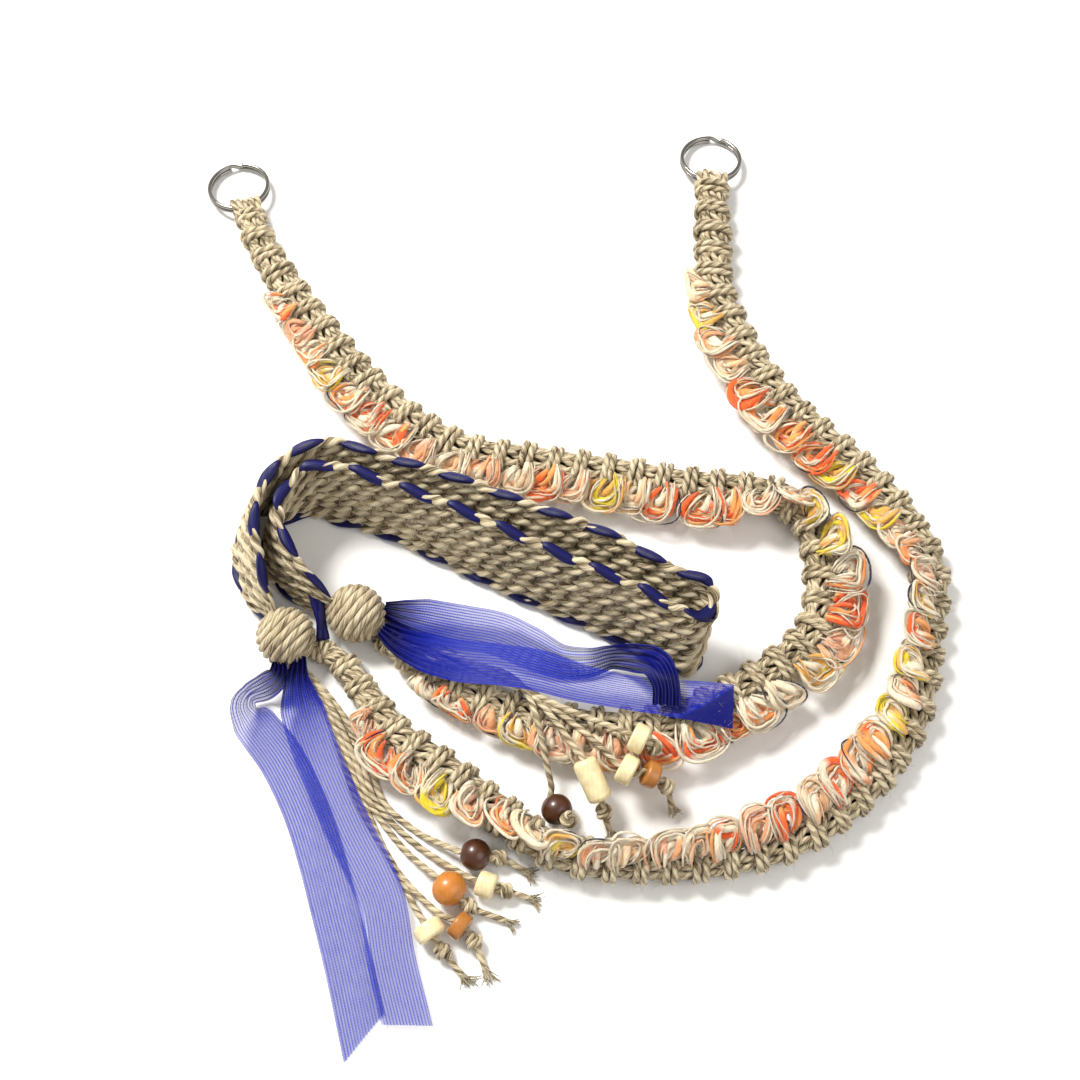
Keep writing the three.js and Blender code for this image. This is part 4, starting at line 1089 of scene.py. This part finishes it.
def yarn_scallops(side, rng, reach):
    """The yarn edge: scallops, each a bundle of strands in an arch. An arch's share runs from one foot at
    -1 over the tip at 0 to the other foot. Along the run it goes with the sine, it stands out with the
    cosine, and its feet bend round the sennit towards the top. One foot rides higher than the other, so
    the scallops lie on each other like scales. Each strand strolls beside its arch in two slow sines."""
    run = arm_run(side)
    letters = np.array(list(DYES[side]))
    kept = letters != "-"
    far = ((np.arange(len(letters)) + 0.5) * run.length / len(letters))[kept]
    letters = letters[kept]
    share = np.maximum(run.column("yarn", far), 0.35)[:, None, None]
    loops, strands = len(far), len(SCALLOP["size"])
    arch = np.linspace(-1, 1, STATIONS["scallop"])
    tip = np.cos(arch * math.pi / 2)
    foot = 1 - tip
    shape = (loops, strands, 1)
    size = SCALLOP["size"][None, :, None] * rng.uniform(0.8, 1.14, shape)
    size = size * rng.uniform(0.88, 1.1, (loops, 1, 1))
    stroll = np.sin(2.1 * arch + rng.uniform(0, TURN, shape))
    stroll = stroll + 0.6 * np.sin(4.3 * arch + rng.uniform(0, TURN, shape))
    along = size * LOOP_PITCH * 0.56 * np.sin(arch * math.pi * 0.83) * rng.uniform(0.85, 1.12, shape)
    along = along + YARN_STROLL * stroll + rng.normal(0, 0.7, (loops, 1, 1)) * MM
    along = along + 0.2 * LOOP_PITCH * np.abs(arch) ** 3
    turn = run.column("turn", far)[:, None, None]
    turn = 0.5 + np.where(turn > 0.5, 1, -1) * np.maximum(np.abs(turn - 0.5), 0.14)
    inward = np.where(turn > 0.5, -1, 1)
    angle = turn * math.pi + inward * (0.05 + 0.8 * foot**1.2 * rng.uniform(0.6, 1.3, shape))
    girth = run.column("girth", far)[:, None, None]
    high = SCALLOP["high"][None, :, None] * MM + YARN_TILT * arch + rng.normal(0, 0.25, shape) * MM
    wave = YARN_WAVE * np.sin(3 * arch + rng.uniform(0, TURN, shape))
    distance = round_sennit(angle, girth) + reach * share * size * tip + high * foot**0.5 + wave * tip
    distance = distance - YARN_TUCK * np.abs(arch) ** 6
    place = np.clip(far[:, None, None] + along, 0, run.length)
    left = unit(run.read(run.left, place))
    over = np.cos(angle)[..., None] * left + np.sin(angle)[..., None] * UP
    around = np.cos(angle)[..., None] * UP - np.sin(angle)[..., None] * left
    lift = inward * (high * tip + 0.9 * MM * arch)
    paths = run.read(run.at, place) + UP * SENNIT_HEIGHT / 2 * girth[..., None]
    paths = pressed(paths + distance[..., None] * over + lift[..., None] * around, 1.6 * MM)
    paths[..., 2] = np.maximum(paths[..., 2], 0.9 * MM)
    dye = scallop_dyes(letters, arch, rng)
    thick = SCALLOP["thick"][None, :, None] * MM * rng.uniform(0.8, 1.2, shape)
    thick = thick * (0.85 + 0.35 * np.sin(2.6 * arch + rng.uniform(0, TURN, shape)))
    thick = thick * (1 - 0.5 * np.abs(arch) ** 4)
    stations = len(arch)
    patch = tubes(
        paths.reshape(-1, stations, 3),
        np.maximum(thick, 0.22 * MM).reshape(-1, stations),
        unit(over + around * inward[..., None]).reshape(-1, stations, 3),
        sides=5,
        lay=7 * MM,
        depth=0.12,
        flat=np.tile(SCALLOP["flat"], loops)[:, None, None],
        tone=rng.uniform(0, 1, loops * strands),
        dye=dye.reshape(-1, stations, 3),
    )
    chosen = rng.choice(len(patch["points"]), YARN_FIBRES, replace=False)
    paler = patch["dye"][chosen] * 0.5 + linear(CREAM) * 0.5
    starts = patch["points"][chosen]
    hairs = stray_fibres(starts, 0.5 * UP, rng, length=4.2 * MM, radius=0.05 * MM, dye=paler)
    return together(patch, hairs)


def band_lines(step=0.8 * MM):
    """The band's lower and upper edges, its upward direction and its face direction, at even steps."""
    low = plan(BAND["across"], BAND["along"], BAND["low"] * BAND_WIDTH)
    rise = np.stack([BAND["lean_x"], BAND["lean_y"], BAND["high"] - BAND["low"]], axis=1) * BAND_WIDTH
    run = Run(low + rise / 2, step)
    lower, upper = spline(low, run.row), spline(low + rise, run.row)
    width = np.linalg.norm(upper - lower, axis=1)
    up = unit(upper - lower)
    face = unit(np.cross(run.tangent, up))
    lower[:, 2] += np.abs(face[:, 2]) * BAND_THICK / 2 * 0.9
    return run, lower, up, face, width


def float_middles(edge, length):
    """The floats' middles along an edge, 0 for the lower and 1 for the upper, at an even pitch."""
    return (np.arange(int(length / FLOAT_PITCH)) + 0.35 + 0.5 * edge) * FLOAT_PITCH


def row_radius(width, spare, most):
    """A row's radius: just over half its share of the band's width, and some spare, up to the most."""
    return np.minimum(width / BAND_ROWS * 0.52 + spare, most)


def woven_band(rng):
    """The band's rows of laid cord, one above the other. Each sways from face to face against its
    neighbours, its humps stand half a hump off theirs, and a thin wall inside closes the band. The wall's
    low tone shows it a little darker than the rows, as painted shade in the gaps between them."""
    run, lower, up, face, width = band_lines()
    row = np.arange(BAND_ROWS)[:, None]
    height = (row + 0.5) / BAND_ROWS * width
    sway = 0.35 * MM * np.sin(TURN * run.far / ROW_LAY + math.pi * row)
    paths = lower + height[..., None] * up + sway[..., None] * face
    full = row_radius(width, spare=0.08 * MM, most=1.9 * MM)
    hump = 0.5 + 0.5 * np.cos(2 * TURN * run.far / ROW_LAY + math.pi * row)
    radius = full * (0.9 + 0.1 * hump) * rng.uniform(0.96, 1.04, (BAND_ROWS, 1))
    for edge, number in enumerate((0, BAND_ROWS - 1)):
        off = np.abs(run.far[:, None] - float_middles(edge, run.length)).min(axis=1)
        radius[number] *= 1 - 0.35 * np.clip((FLOAT_LENGTH / 2 - off) / (2 * MM), 0, 1)
    start = (row + rng.uniform(-0.12, 0.12, row.shape)) * ROW_LAY / 4
    tone = rng.uniform(0.2, 0.8, BAND_ROWS)
    rows = tubes(paths, radius, up[None], sides=12, lay=ROW_LAY, depth=0.4, start=start, tone=tone)
    middle = lower + 0.5 * width[:, None] * up
    sides = 10
    # A low tone: the wall shows a little darker in the gaps between the rows, as painted shade there.
    wall = tubes(middle[None], 0.44 * width[None], up[None], sides=sides, tone=0.1)
    rings = wall["points"][:-2].reshape(len(run.far), sides, 3)
    thick = np.einsum("ijk,ik->ij", rings - middle[:, None], face)
    wall["points"][:-2] = (rings - 0.93 * thick[..., None] * face[:, None]).reshape(-1, 3)
    return together(rows, wall)


def band_floats(rng):
    """The ribbon's floats along both edges, and its tie: each float is a leaf that wraps the edge row, with
    slanted points. Its radius falls with one minus a power of the share of the half length, and its upper
    side runs ahead."""
    run, lower, up, _, width = band_lines(0.5 * MM)
    share = np.linspace(-1, 1, STATIONS["float"])
    patches = []
    for edge, outward in enumerate((-1, 1)):
        row = 0.5 + edge * (BAND_ROWS - 1)
        middle = float_middles(edge, run.length)
        far = np.clip(middle[:, None] + share * FLOAT_LENGTH / 2, 0, run.length)
        wide = np.interp(far, run.far, width)
        upward = run.read(up, far)
        rise = row / BAND_ROWS * wide + outward * 0.25 * MM
        at = run.read(lower, far) + rise[..., None] * upward
        full = row_radius(wide, spare=0.15 * MM, most=1.85 * MM)
        radius = full * (1 - np.abs(share) ** 1.6) ** 0.9 + 0.1 * MM
        tone = rng.uniform(0, 1, len(middle))
        slant = outward * FLOAT_SLANT
        patches.append(tubes(at, radius, upward, sides=14, lay=46 * MM, flat=0.9, shear=slant, tone=tone))
    return together(*patches, ball_tie())


def ball_tie():
    """The gathered ribbon that leaves the band's inner end and passes down between the two balls."""
    run = raised_run(TIE, 0.6 * MM)
    offset = np.array([-0.8, 0.0, 0.8])[:, None] * MM
    twist = TURN * run.far / (16 * MM) + np.array([0, 2, 4])[:, None]
    far = np.broadcast_to(run.far, twist.shape)
    paths = run.beside(far, offset + 0.4 * MM * np.cos(twist), 0.4 * MM * np.sin(twist))
    return tubes(paths, 1.05 * MM, UP + 0.3, sides=10, flat=0.7, tone=np.array([0.2, 0.5, 0.8]))


def wound_ball(side, cord):
    """A wound ball: one cord spirals from pole to pole, its polar angle growing evenly with its turns, over
    an inner ball that closes the gaps."""
    centre = plan(*BALLS[side], BALL_DIAMETER / 2)
    axis = unit(np.array(BALL_AXES[side]))
    arm = unit(np.cross(axis, UP))
    other = np.cross(axis, arm)
    thick = 1.12 * cord
    proud = 0.3 * MM
    radius = BALL_DIAMETER / 2 - thick / 2 + proud
    share = np.linspace(0, 1, STATIONS["ball"])
    pole = 0.06 * math.pi
    polar = pole + share * (math.pi - 2 * pole)
    angle = TURN * BALL_TURNS * share
    bumps = 1 + 0.012 * np.sin(3 * angle + 1.3)
    outward = np.cos(polar)[:, None] * axis + np.sin(polar)[:, None] * (
        np.cos(angle)[:, None] * arm + np.sin(angle)[:, None] * other
    )
    path = centre + radius * bumps[:, None] * outward
    wraps = tubes(path[None], thick / 2, outward[None], sides=10, lay=2 * CORD_LAY, depth=0.1, tone=0.7)
    grid = np.linspace(0.02, 0.98, 14) * math.pi
    profile = np.stack([np.sin(grid), -np.cos(grid)], axis=1) * (radius - proud)
    spool = (profile[:1] + profile[-1:]) / 2
    inner = turned(np.concatenate([profile, spool]), centre, axis, sides=24)
    return together(wraps, inner)


def ribbon_sheet(name):
    """A ribbon tail: across the run it is a row of points turned by roll about the run. Pleats, a cosine
    across the width, deepen where the spread is less than the ribbon's width, the edges ripple and the
    end is cut at a slant. Its tone is how many layers of cloth lie there: more in the gathers at the ball,
    on the lower tail's folded tip and where the folded tail turns over."""
    rows = RIBBONS[name]
    run = raised_run(rows, 1.0 * MM)
    x = np.linspace(-0.5, 0.5, STATIONS["ribbon"])[None, :]
    spread = run.column("spread", run.far)[:, None]
    roll = run.column("roll", run.far)[:, None] * math.pi
    gather = run.column("gather", run.far)[:, None]
    side = np.cos(roll)[..., None] * run.left[:, None] + np.sin(roll)[..., None] * UP
    up = unit(np.cross(run.tangent[:, None], side))
    pleat = np.sqrt(np.clip(1 - spread, 0, 1)) * PLEAT_DEPTH * np.cos(TURN * PLEATS * x + 0.8)
    far = run.far[:, None]
    ripple = 0.25 * MM * x * np.sin(TURN * far / (26 * MM) + 1.0)
    ripple = ripple + 0.12 * MM * np.cos(TURN * x * 1.5 + far / (9 * MM))
    width = RIBBON_WIDTH * spread
    slanting = 12 * MM
    ahead = rows["skew"][-1] * x * RIBBON_WIDTH * np.clip(1 + (far - run.length) / slanting, 0, 1)
    points = run.at[:, None] + (x * width)[..., None] * side + (pleat + ripple)[..., None] * up
    points = points + ahead[..., None] * run.tangent[:, None]
    points[..., 2] = np.maximum(points[..., 2], 0.25 * MM)
    across = np.broadcast_to(x * RIBBON_WIDTH, points.shape[:2])
    along = far + ahead
    near = np.exp(-far / RIBBON_FADES[name])
    tip = np.clip((far - run.length + (0.5 - x) * 15 * MM) / (0.8 * MM), 0, 1) * (name == "ribbon_tail_lower")
    twist = np.clip((far - 0.62 * run.length) / (8 * MM), 0, 1) * (name == "ribbon_tail_folded")
    layers = 0.85 + 0.9 * (gather - 1) + 1.1 * (1 / spread - 1)
    layers = layers + 3.2 * near * (1 - 0.55 * (x + 0.5)) + 3 * tip + 2.2 * twist
    layers = np.broadcast_to(layers, points.shape[:2])
    return sheet_patch(points, across, along, layers), run


def cord_path(rows, step=0.7 * MM):
    """A tassel cord's run, straight through each bead, with the places of its beads and knots."""
    across, along, rise = np.array([r[:3] for r in rows]).T
    bare = plan(across, along, rise * SENNIT_HEIGHT)
    points, marks = [], []
    for i, row in enumerate(rows):
        kind = row[3]
        if kind in BEADS:
            way = unit(bare[i + 1] - bare[i - 1])
            half = BEADS[kind][1] / 2 + BEAD_EASE
            marks.append((kind, len(points) + 1))
            points += [bare[i] - half * way, bare[i], bare[i] + half * way]
        else:
            if kind:
                marks.append((kind, len(points)))
            points.append(bare[i])
    points = np.array(points)
    run = Run(points, step)
    run.at[:, 2] = np.maximum(run.at[:, 2], CORD / 2)
    found = [(kind, float(np.interp(index, run.row, run.far))) for kind, index in marks]
    return run, found


def overhand_knot(run, far, rng, cord):
    """An overhand knot: a cord that winds twice round the run while its turns grow and shrink."""
    share = np.linspace(-1, 1, STATIONS["overhand knot"])
    place = far + share * 1.9 * MM
    size = (0.5 + 1.1 * (1 - share**2)) * MM
    angle = 2.3 * TURN * share / 2 + rng.uniform(0, TURN)
    tangent = unit(run.read(run.tangent, place))
    side = unit(np.cross(UP, tangent))
    up = np.cross(tangent, side)
    path = run.read(run.at, place)
    path = path + (size * np.cos(angle))[:, None] * side + (size * np.sin(angle))[:, None] * up
    path[:, 2] = np.maximum(path[:, 2], cord / 2)
    return tubes(path[None], cord / 2, tangent[None], lay=CORD_LAY, tone=rng.uniform(0, 1))


def frayed_end(run, rng, count=34):
    """The cord's loose fibres past its last knot: they leave it together and splay as they go."""
    share = np.linspace(0, 1, 8)[None, :, None]
    end, way = run.at[-1], run.tangent[-1]
    side = unit(np.cross(UP, way))
    splay = rng.normal(size=(count, 1, 1)) * side
    splay = splay + 0.5 * np.abs(rng.normal(size=(count, 1, 1))) * UP
    reach = rng.uniform(1.5, 4.0, (count, 1, 1)) * MM
    start = end - way * 1.5 * MM + rng.normal(0, 0.35 * MM, (count, 1, 3))
    paths = start + reach * (share * way + 0.45 * share**1.5 * splay)
    paths[..., 2] = np.maximum(paths[..., 2], 0.2 * MM)
    taper = 0.26 * MM * (1 - 0.5 * share[..., 0])
    return tubes(paths, taper, [0.2, 0.3, 0.9], sides=4, tone=rng.uniform(0.5, 1, count))


def tassel(name, rng, cord):
    """A tassel's cords with their knots and frayed ends. Each cord thins towards its end."""
    patches = []
    for rows in TASSELS[name]:
        run, marks = cord_path(rows)
        radius = cord / 2 * 0.95 * np.clip((run.length - run.far) / (1.2 * MM), 0.3, 1)
        patches.append(tubes(run.at[None], radius[None], UP + 0.01, lay=CORD_LAY, tone=rng.uniform(0.3, 1)))
        patches += [overhand_knot(run, far, rng, cord) for kind, far in marks if kind == "knot"]
        patches.append(frayed_end(run, rng))
    return together(*patches)


def bead_profile(kind):
    """Half a bead's section: round ones are an oval, the rest a block with quarter-round rims; the bore
    closes it."""
    diameter, length, _ = BEADS[kind]
    outer, half, bore = diameter / 2, length / 2, CORD / 2 + 0.15 * MM
    if kind.startswith("round"):
        flat = math.asin(min(bore / outer, 1)) + 0.12
        angle = np.linspace(-math.pi / 2 + flat, math.pi / 2 - flat, 22)
        rim = np.stack([outer * np.cos(angle), half * np.sin(angle) / math.cos(flat)], axis=1)
    else:
        round_off = min(half, outer) * 0.42
        bend = np.linspace(0, math.pi / 2, 7)
        top = np.array([outer, half]) - round_off * (1 - np.stack([np.cos(bend), np.sin(bend)], axis=1))
        rim = np.concatenate([top[::-1] * [1, -1], top])
    ease = 0.25 * MM
    lip = [[bore + ease, half], [bore, half - ease], [bore, ease - half], [bore + ease, -half]]
    return np.concatenate([rim, lip])


# ---- the stage --------------------------------------------------------------------------------------

FLOOR_HALF = 3.0
SKY_COLOUR, SKY_STRENGTH = (1.0, 0.985, 0.96), 0.5

# The lights' places, sizes, watts and colours.
LIGHTS = {
    "key": ((-0.5, 0.5, 0.95), 0.35, 20.0, (1.0, 0.98, 0.95)),
    "fill": ((0.7, -0.5, 0.9), 0.9, 5.0, (1.0, 0.99, 0.98)),
}

# The photograph's view: the place in the tables' plan, the three angles in degrees and the lens.
VIEW_PLACE = (-29.6 * MM, -188.5 * MM, 448.7 * MM)
VIEW_YAW, VIEW_PITCH, VIEW_ROLL = 4.77, 66.31, 1.27
VIEW_LENS = 55.63


def looking(place, forward, up):
    """A matrix at a place that looks forward, with the given rough up."""
    right = unit(np.cross(forward, up))
    true_up = np.cross(right, forward)
    columns = np.stack([right, true_up, -forward, place], axis=1)
    return Matrix([*columns.tolist(), [0, 0, 0, 1]])


def add_light(name, place, size, power, colour):
    """A square soft light at a place, aimed at the strap."""
    lamp = bpy.data.lights.new(name, "AREA")
    lamp.size, lamp.energy, lamp.color = size, power, colour
    made = bpy.data.objects.new(name, lamp)
    made.matrix_world = looking(np.array(place), -unit(np.array(place)), UP)
    bpy.context.collection.objects.link(made)


def add_camera():
    """The camera: forward comes from yaw and pitch, and roll turns right towards up."""
    yaw, pitch, roll = np.radians([VIEW_YAW, VIEW_PITCH, VIEW_ROLL])
    forward = np.array([math.sin(yaw) * math.cos(pitch), math.cos(yaw) * math.cos(pitch), -math.sin(pitch)])
    right = np.array([math.cos(yaw), -math.sin(yaw), 0])
    up = np.cross(right, forward)
    turned_up = -math.sin(roll) * right + math.cos(roll) * up
    lens = bpy.data.cameras.new("camera")
    lens.lens, lens.sensor_width = VIEW_LENS, 36
    lens.clip_start, lens.clip_end = 0.01, 20
    made = bpy.data.objects.new("camera", lens)
    made.matrix_world = looking(np.array(VIEW_PLACE) + OFFSET, forward, turned_up)
    bpy.context.collection.objects.link(made)
    bpy.context.scene.camera = made


# ---- the add-on -------------------------------------------------------------------------------------


# Where the random draws of each group start, counted from the seed.
FIRST_DRAWS = {"arms": 0, "yarn": 10, "band": 20, "tassels": 40}

# What every colour setting shares.
SWATCH = {"subtype": "COLOR", "size": 3, "min": 0.0, "max": 1.0}


class StrapSettings(bpy.types.PropertyGroup):
    """Sizes and colours of the strap that a user would change."""

    cord: bpy.props.FloatProperty(
        name="Cord",
        description="Diameter of the hemp cord",
        default=CORD,
        min=1 * MM,
        max=4 * MM,
        unit="LENGTH",
    )
    yarn_reach: bpy.props.FloatProperty(
        name="Yarn reach",
        description="How far the yarn scallops stand out",
        default=YARN_REACH,
        min=0.0,
        max=20 * MM,
        unit="LENGTH",
    )
    hemp: bpy.props.FloatVectorProperty(
        name="Hemp", description="Body colour of the hemp", default=tuple(linear("#a08f70")), **SWATCH
    )
    # The light end of the hemp: its lightest fibres and the painted highlight on the crests of its plies.
    hemp_lit: bpy.props.FloatVectorProperty(
        name="Hemp, lit",
        description="Colour of its lightest fibres",
        default=tuple(linear("#d6c8a8")),
        **SWATCH,
    )
    # The dark end of the hemp: its darkest fibres and the painted shade between its plies.
    hemp_dark_and_shade: bpy.props.FloatVectorProperty(
        name="Hemp, dark", description="Colour between its plies", default=tuple(linear("#43371f")), **SWATCH
    )
    ribbon: bpy.props.FloatVectorProperty(
        name="Ribbon", description="Colour of the sheer ribbon", default=tuple(linear("#0e229e")), **SWATCH
    )
    ribbon_dense: bpy.props.FloatVectorProperty(
        name="Ribbon, dense",
        description="Its colour where it is gathered",
        default=tuple(linear("#04064c")),
        **SWATCH,
    )
    floats: bpy.props.FloatVectorProperty(
        name="Floats",
        description="Colour of the ribbon in the band",
        default=tuple(linear("#04043a")),
        **SWATCH,
    )
    # The colour of the painted highlight on the floats.
    floats_lit: bpy.props.FloatVectorProperty(
        name="Floats, lit", description="Colour of its glints", default=tuple(linear("#14168e")), **SWATCH
    )
    seed: bpy.props.IntProperty(name="Seed", description="Seed of the small irregularities", default=7, min=0)


def settings():
    """The strap's settings in this scene."""
    return bpy.context.scene.neck_strap


def draws(group, number=0):
    """The random draws of one piece of a group."""
    return np.random.default_rng(settings().seed + FIRST_DRAWS[group] + number)


# By default a cord gets a middling painted shade between its plies and a painted highlight on their crests.
def hemp_cord(name="hemp cord", lay=CORD_LAY, ply_shade=0.4, fibres=15.0):
    """The hemp material of that name, made if it isn't there yet."""
    s = settings()
    found = bpy.data.materials.get(name)
    return found or laid_cord(name, s.hemp_dark_and_shade, s.hemp, s.hemp_lit, lay, ply_shade, fibres)


class NECKSTRAP_OT_rings(bpy.types.Operator):
    """Make the two split rings"""

    bl_idname = "neckstrap.rings"
    bl_label = "Split rings"

    def execute(self, context):
        steel = ring_steel()
        for side in ARMS:
            make_piece(f"{side}_ring", split_ring(side), steel, [f"{side}_split_ring"])
        return {"FINISHED"}


class NECKSTRAP_OT_arms(bpy.types.Operator):
    """Make the two knotted hemp arms"""

    bl_idname = "neckstrap.arms"
    bl_label = "Knotted arms"

    def execute(self, context):
        for number, side in enumerate(ARMS):
            patch = sennit(side, draws("arms", number), settings().cord)
            make_piece(f"{side}_arm_knots", patch, hemp_cord(), [f"{side}_arm_sennit"])
        return {"FINISHED"}


class NECKSTRAP_OT_yarn(bpy.types.Operator):
    """Make the slub yarn scallops along both arms"""

    bl_idname = "neckstrap.yarn"
    bl_label = "Yarn scallops"

    def execute(self, context):
        material = dyed_yarn()
        for number, side in enumerate(ARMS):
            patch = yarn_scallops(side, draws("yarn", number), settings().yarn_reach)
            make_piece(f"{side}_arm_yarn", patch, material, [f"{side}_arm_yarn_edge"])
        return {"FINISHED"}


class NECKSTRAP_OT_band(bpy.types.Operator):
    """Make the woven band and the ribbon floats along its edges"""

    bl_idname = "neckstrap.band"
    bl_label = "Woven band"

    def execute(self, context):
        s = settings()
        rng = draws("band")
        # The band's rows get deep painted shade between their plies and a strong painted highlight on their
        # crests.
        rows = hemp_cord("woven hemp cord", lay=ROW_LAY, ply_shade=0.55, fibres=26.0)
        make_piece("band_weave", woven_band(rng), rows, ["woven_band"])
        # The floats get a painted highlight along their creases.
        floats = gathered_ribbon(s.floats, s.floats_lit)
        make_piece("band_ribbon_floats", band_floats(rng), floats)
        return {"FINISHED"}


class NECKSTRAP_OT_balls(bpy.types.Operator):
    """Make the two wound ball knots"""

    bl_idname = "neckstrap.balls"
    bl_label = "Ball knots"

    def execute(self, context):
        # The winding gets only faint painted shade between its plies.
        winding = hemp_cord("wound hemp cord", lay=2 * CORD_LAY, ply_shade=0.12)
        for side in BALLS:
            patch = wound_ball(side, settings().cord)
            make_piece(f"{side}_ball_winding", patch, winding, [f"{side}_ball_knot"])
        return {"FINISHED"}


class NECKSTRAP_OT_ribbons(bpy.types.Operator):
    """Make the four sheer ribbon tails"""

    bl_idname = "neckstrap.ribbons"
    bl_label = "Ribbon tails"

    def execute(self, context):
        material = organza(settings().ribbon, settings().ribbon_dense)
        for name in RIBBONS:
            patch, run = ribbon_sheet(name)
            made = make_piece(f"{name}_cloth", patch, material, [name])
        return {"FINISHED"}


class NECKSTRAP_OT_tassels(bpy.types.Operator):
    """Make the tassels' cords, knots and beads"""

    bl_idname = "neckstrap.tassels"
    bl_label = "Tassels and beads"

    def execute(self, context):
        woods = {kind: lacquered_wood(f"{kind} bead", BEADS[kind][2]) for kind in BEADS}
        for number, name in enumerate(TASSELS):
            patch = tassel(name, draws("tassels", number), settings().cord)
            make_piece(f"{name}_cords", patch, hemp_cord(), [name])
            count = 0
            for rows in TASSELS[name]:
                run, marks = cord_path(rows)
                for kind, far in marks:
                    if kind not in BEADS:
                        continue
                    count += 1
                    centre, axis = run.read(run.at, far), unit(run.read(run.tangent, far))
                    node, colour = f"{name}_bead_{count}_{kind}", kind.split("_")[1]
                    patch = turned(bead_profile(kind), centre, axis)
                    make_piece(f"{node}_turned", patch, woods[kind], [node])
        return {"FINISHED"}


class NECKSTRAP_OT_stage(bpy.types.Operator):
    """Make the floor, the lights and the camera"""

    bl_idname = "neckstrap.stage"
    bl_label = "Stage"

    def execute(self, context):
        mesh = bpy.data.meshes.new("floor")
        corners = FLOOR_HALF * np.array([(-1, -1, 0), (1, -1, 0), (1, 1, 0), (-1, 1, 0)]) - 0.1 * MM * UP
        mesh.from_pydata(corners.tolist(), [], [(0, 1, 2, 3)])
        mesh.materials.append(floor_paper())
        floor = bpy.data.objects.new("floor", mesh)
        context.collection.objects.link(floor)
        world = bpy.data.worlds.new("studio")
        world.use_nodes = True
        sky = world.node_tree.nodes["Background"]
        sky.inputs["Color"].default_value = rgba(SKY_COLOUR)
        sky.inputs["Strength"].default_value = SKY_STRENGTH
        context.scene.world = world
        for name, light in LIGHTS.items():
            add_light(name, *light)
        add_camera()
        context.scene.view_settings.view_transform = "Standard"
        return {"FINISHED"}


class NECKSTRAP_PT_panel(bpy.types.Panel):
    """The strap's settings and the operators that make it"""

    bl_label = "Neck strap"
    bl_idname = "NECKSTRAP_PT_panel"
    bl_space_type = "VIEW_3D"
    bl_region_type = "UI"
    bl_category = "Neck strap"

    def draw(self, context):
        """Lists each setting and each piece's operator."""
        for name in StrapSettings.__annotations__:
            self.layout.prop(context.scene.neck_strap, name)
        for maker in MAKERS:
            self.layout.operator(maker.bl_idname)


MAKERS = (
    NECKSTRAP_OT_stage,
    NECKSTRAP_OT_rings,
    NECKSTRAP_OT_arms,
    NECKSTRAP_OT_yarn,
    NECKSTRAP_OT_band,
    NECKSTRAP_OT_balls,
    NECKSTRAP_OT_ribbons,
    NECKSTRAP_OT_tassels,
)
CLASSES = (StrapSettings, *MAKERS, NECKSTRAP_PT_panel)


def register():
    """Adds the add-on's classes and its settings."""
    for one in CLASSES:
        bpy.utils.register_class(one)
    bpy.types.Scene.neck_strap = bpy.props.PointerProperty(type=StrapSettings)


def unregister():
    """Takes them out again."""
    del bpy.types.Scene.neck_strap
    for one in reversed(CLASSES):
        bpy.utils.unregister_class(one)


def main():
    """Makes everything in order."""
    register()
    for maker in MAKERS:
        getattr(bpy.ops.neckstrap, maker.bl_idname.split(".")[1])()


if __name__ == "__main__":
    main()
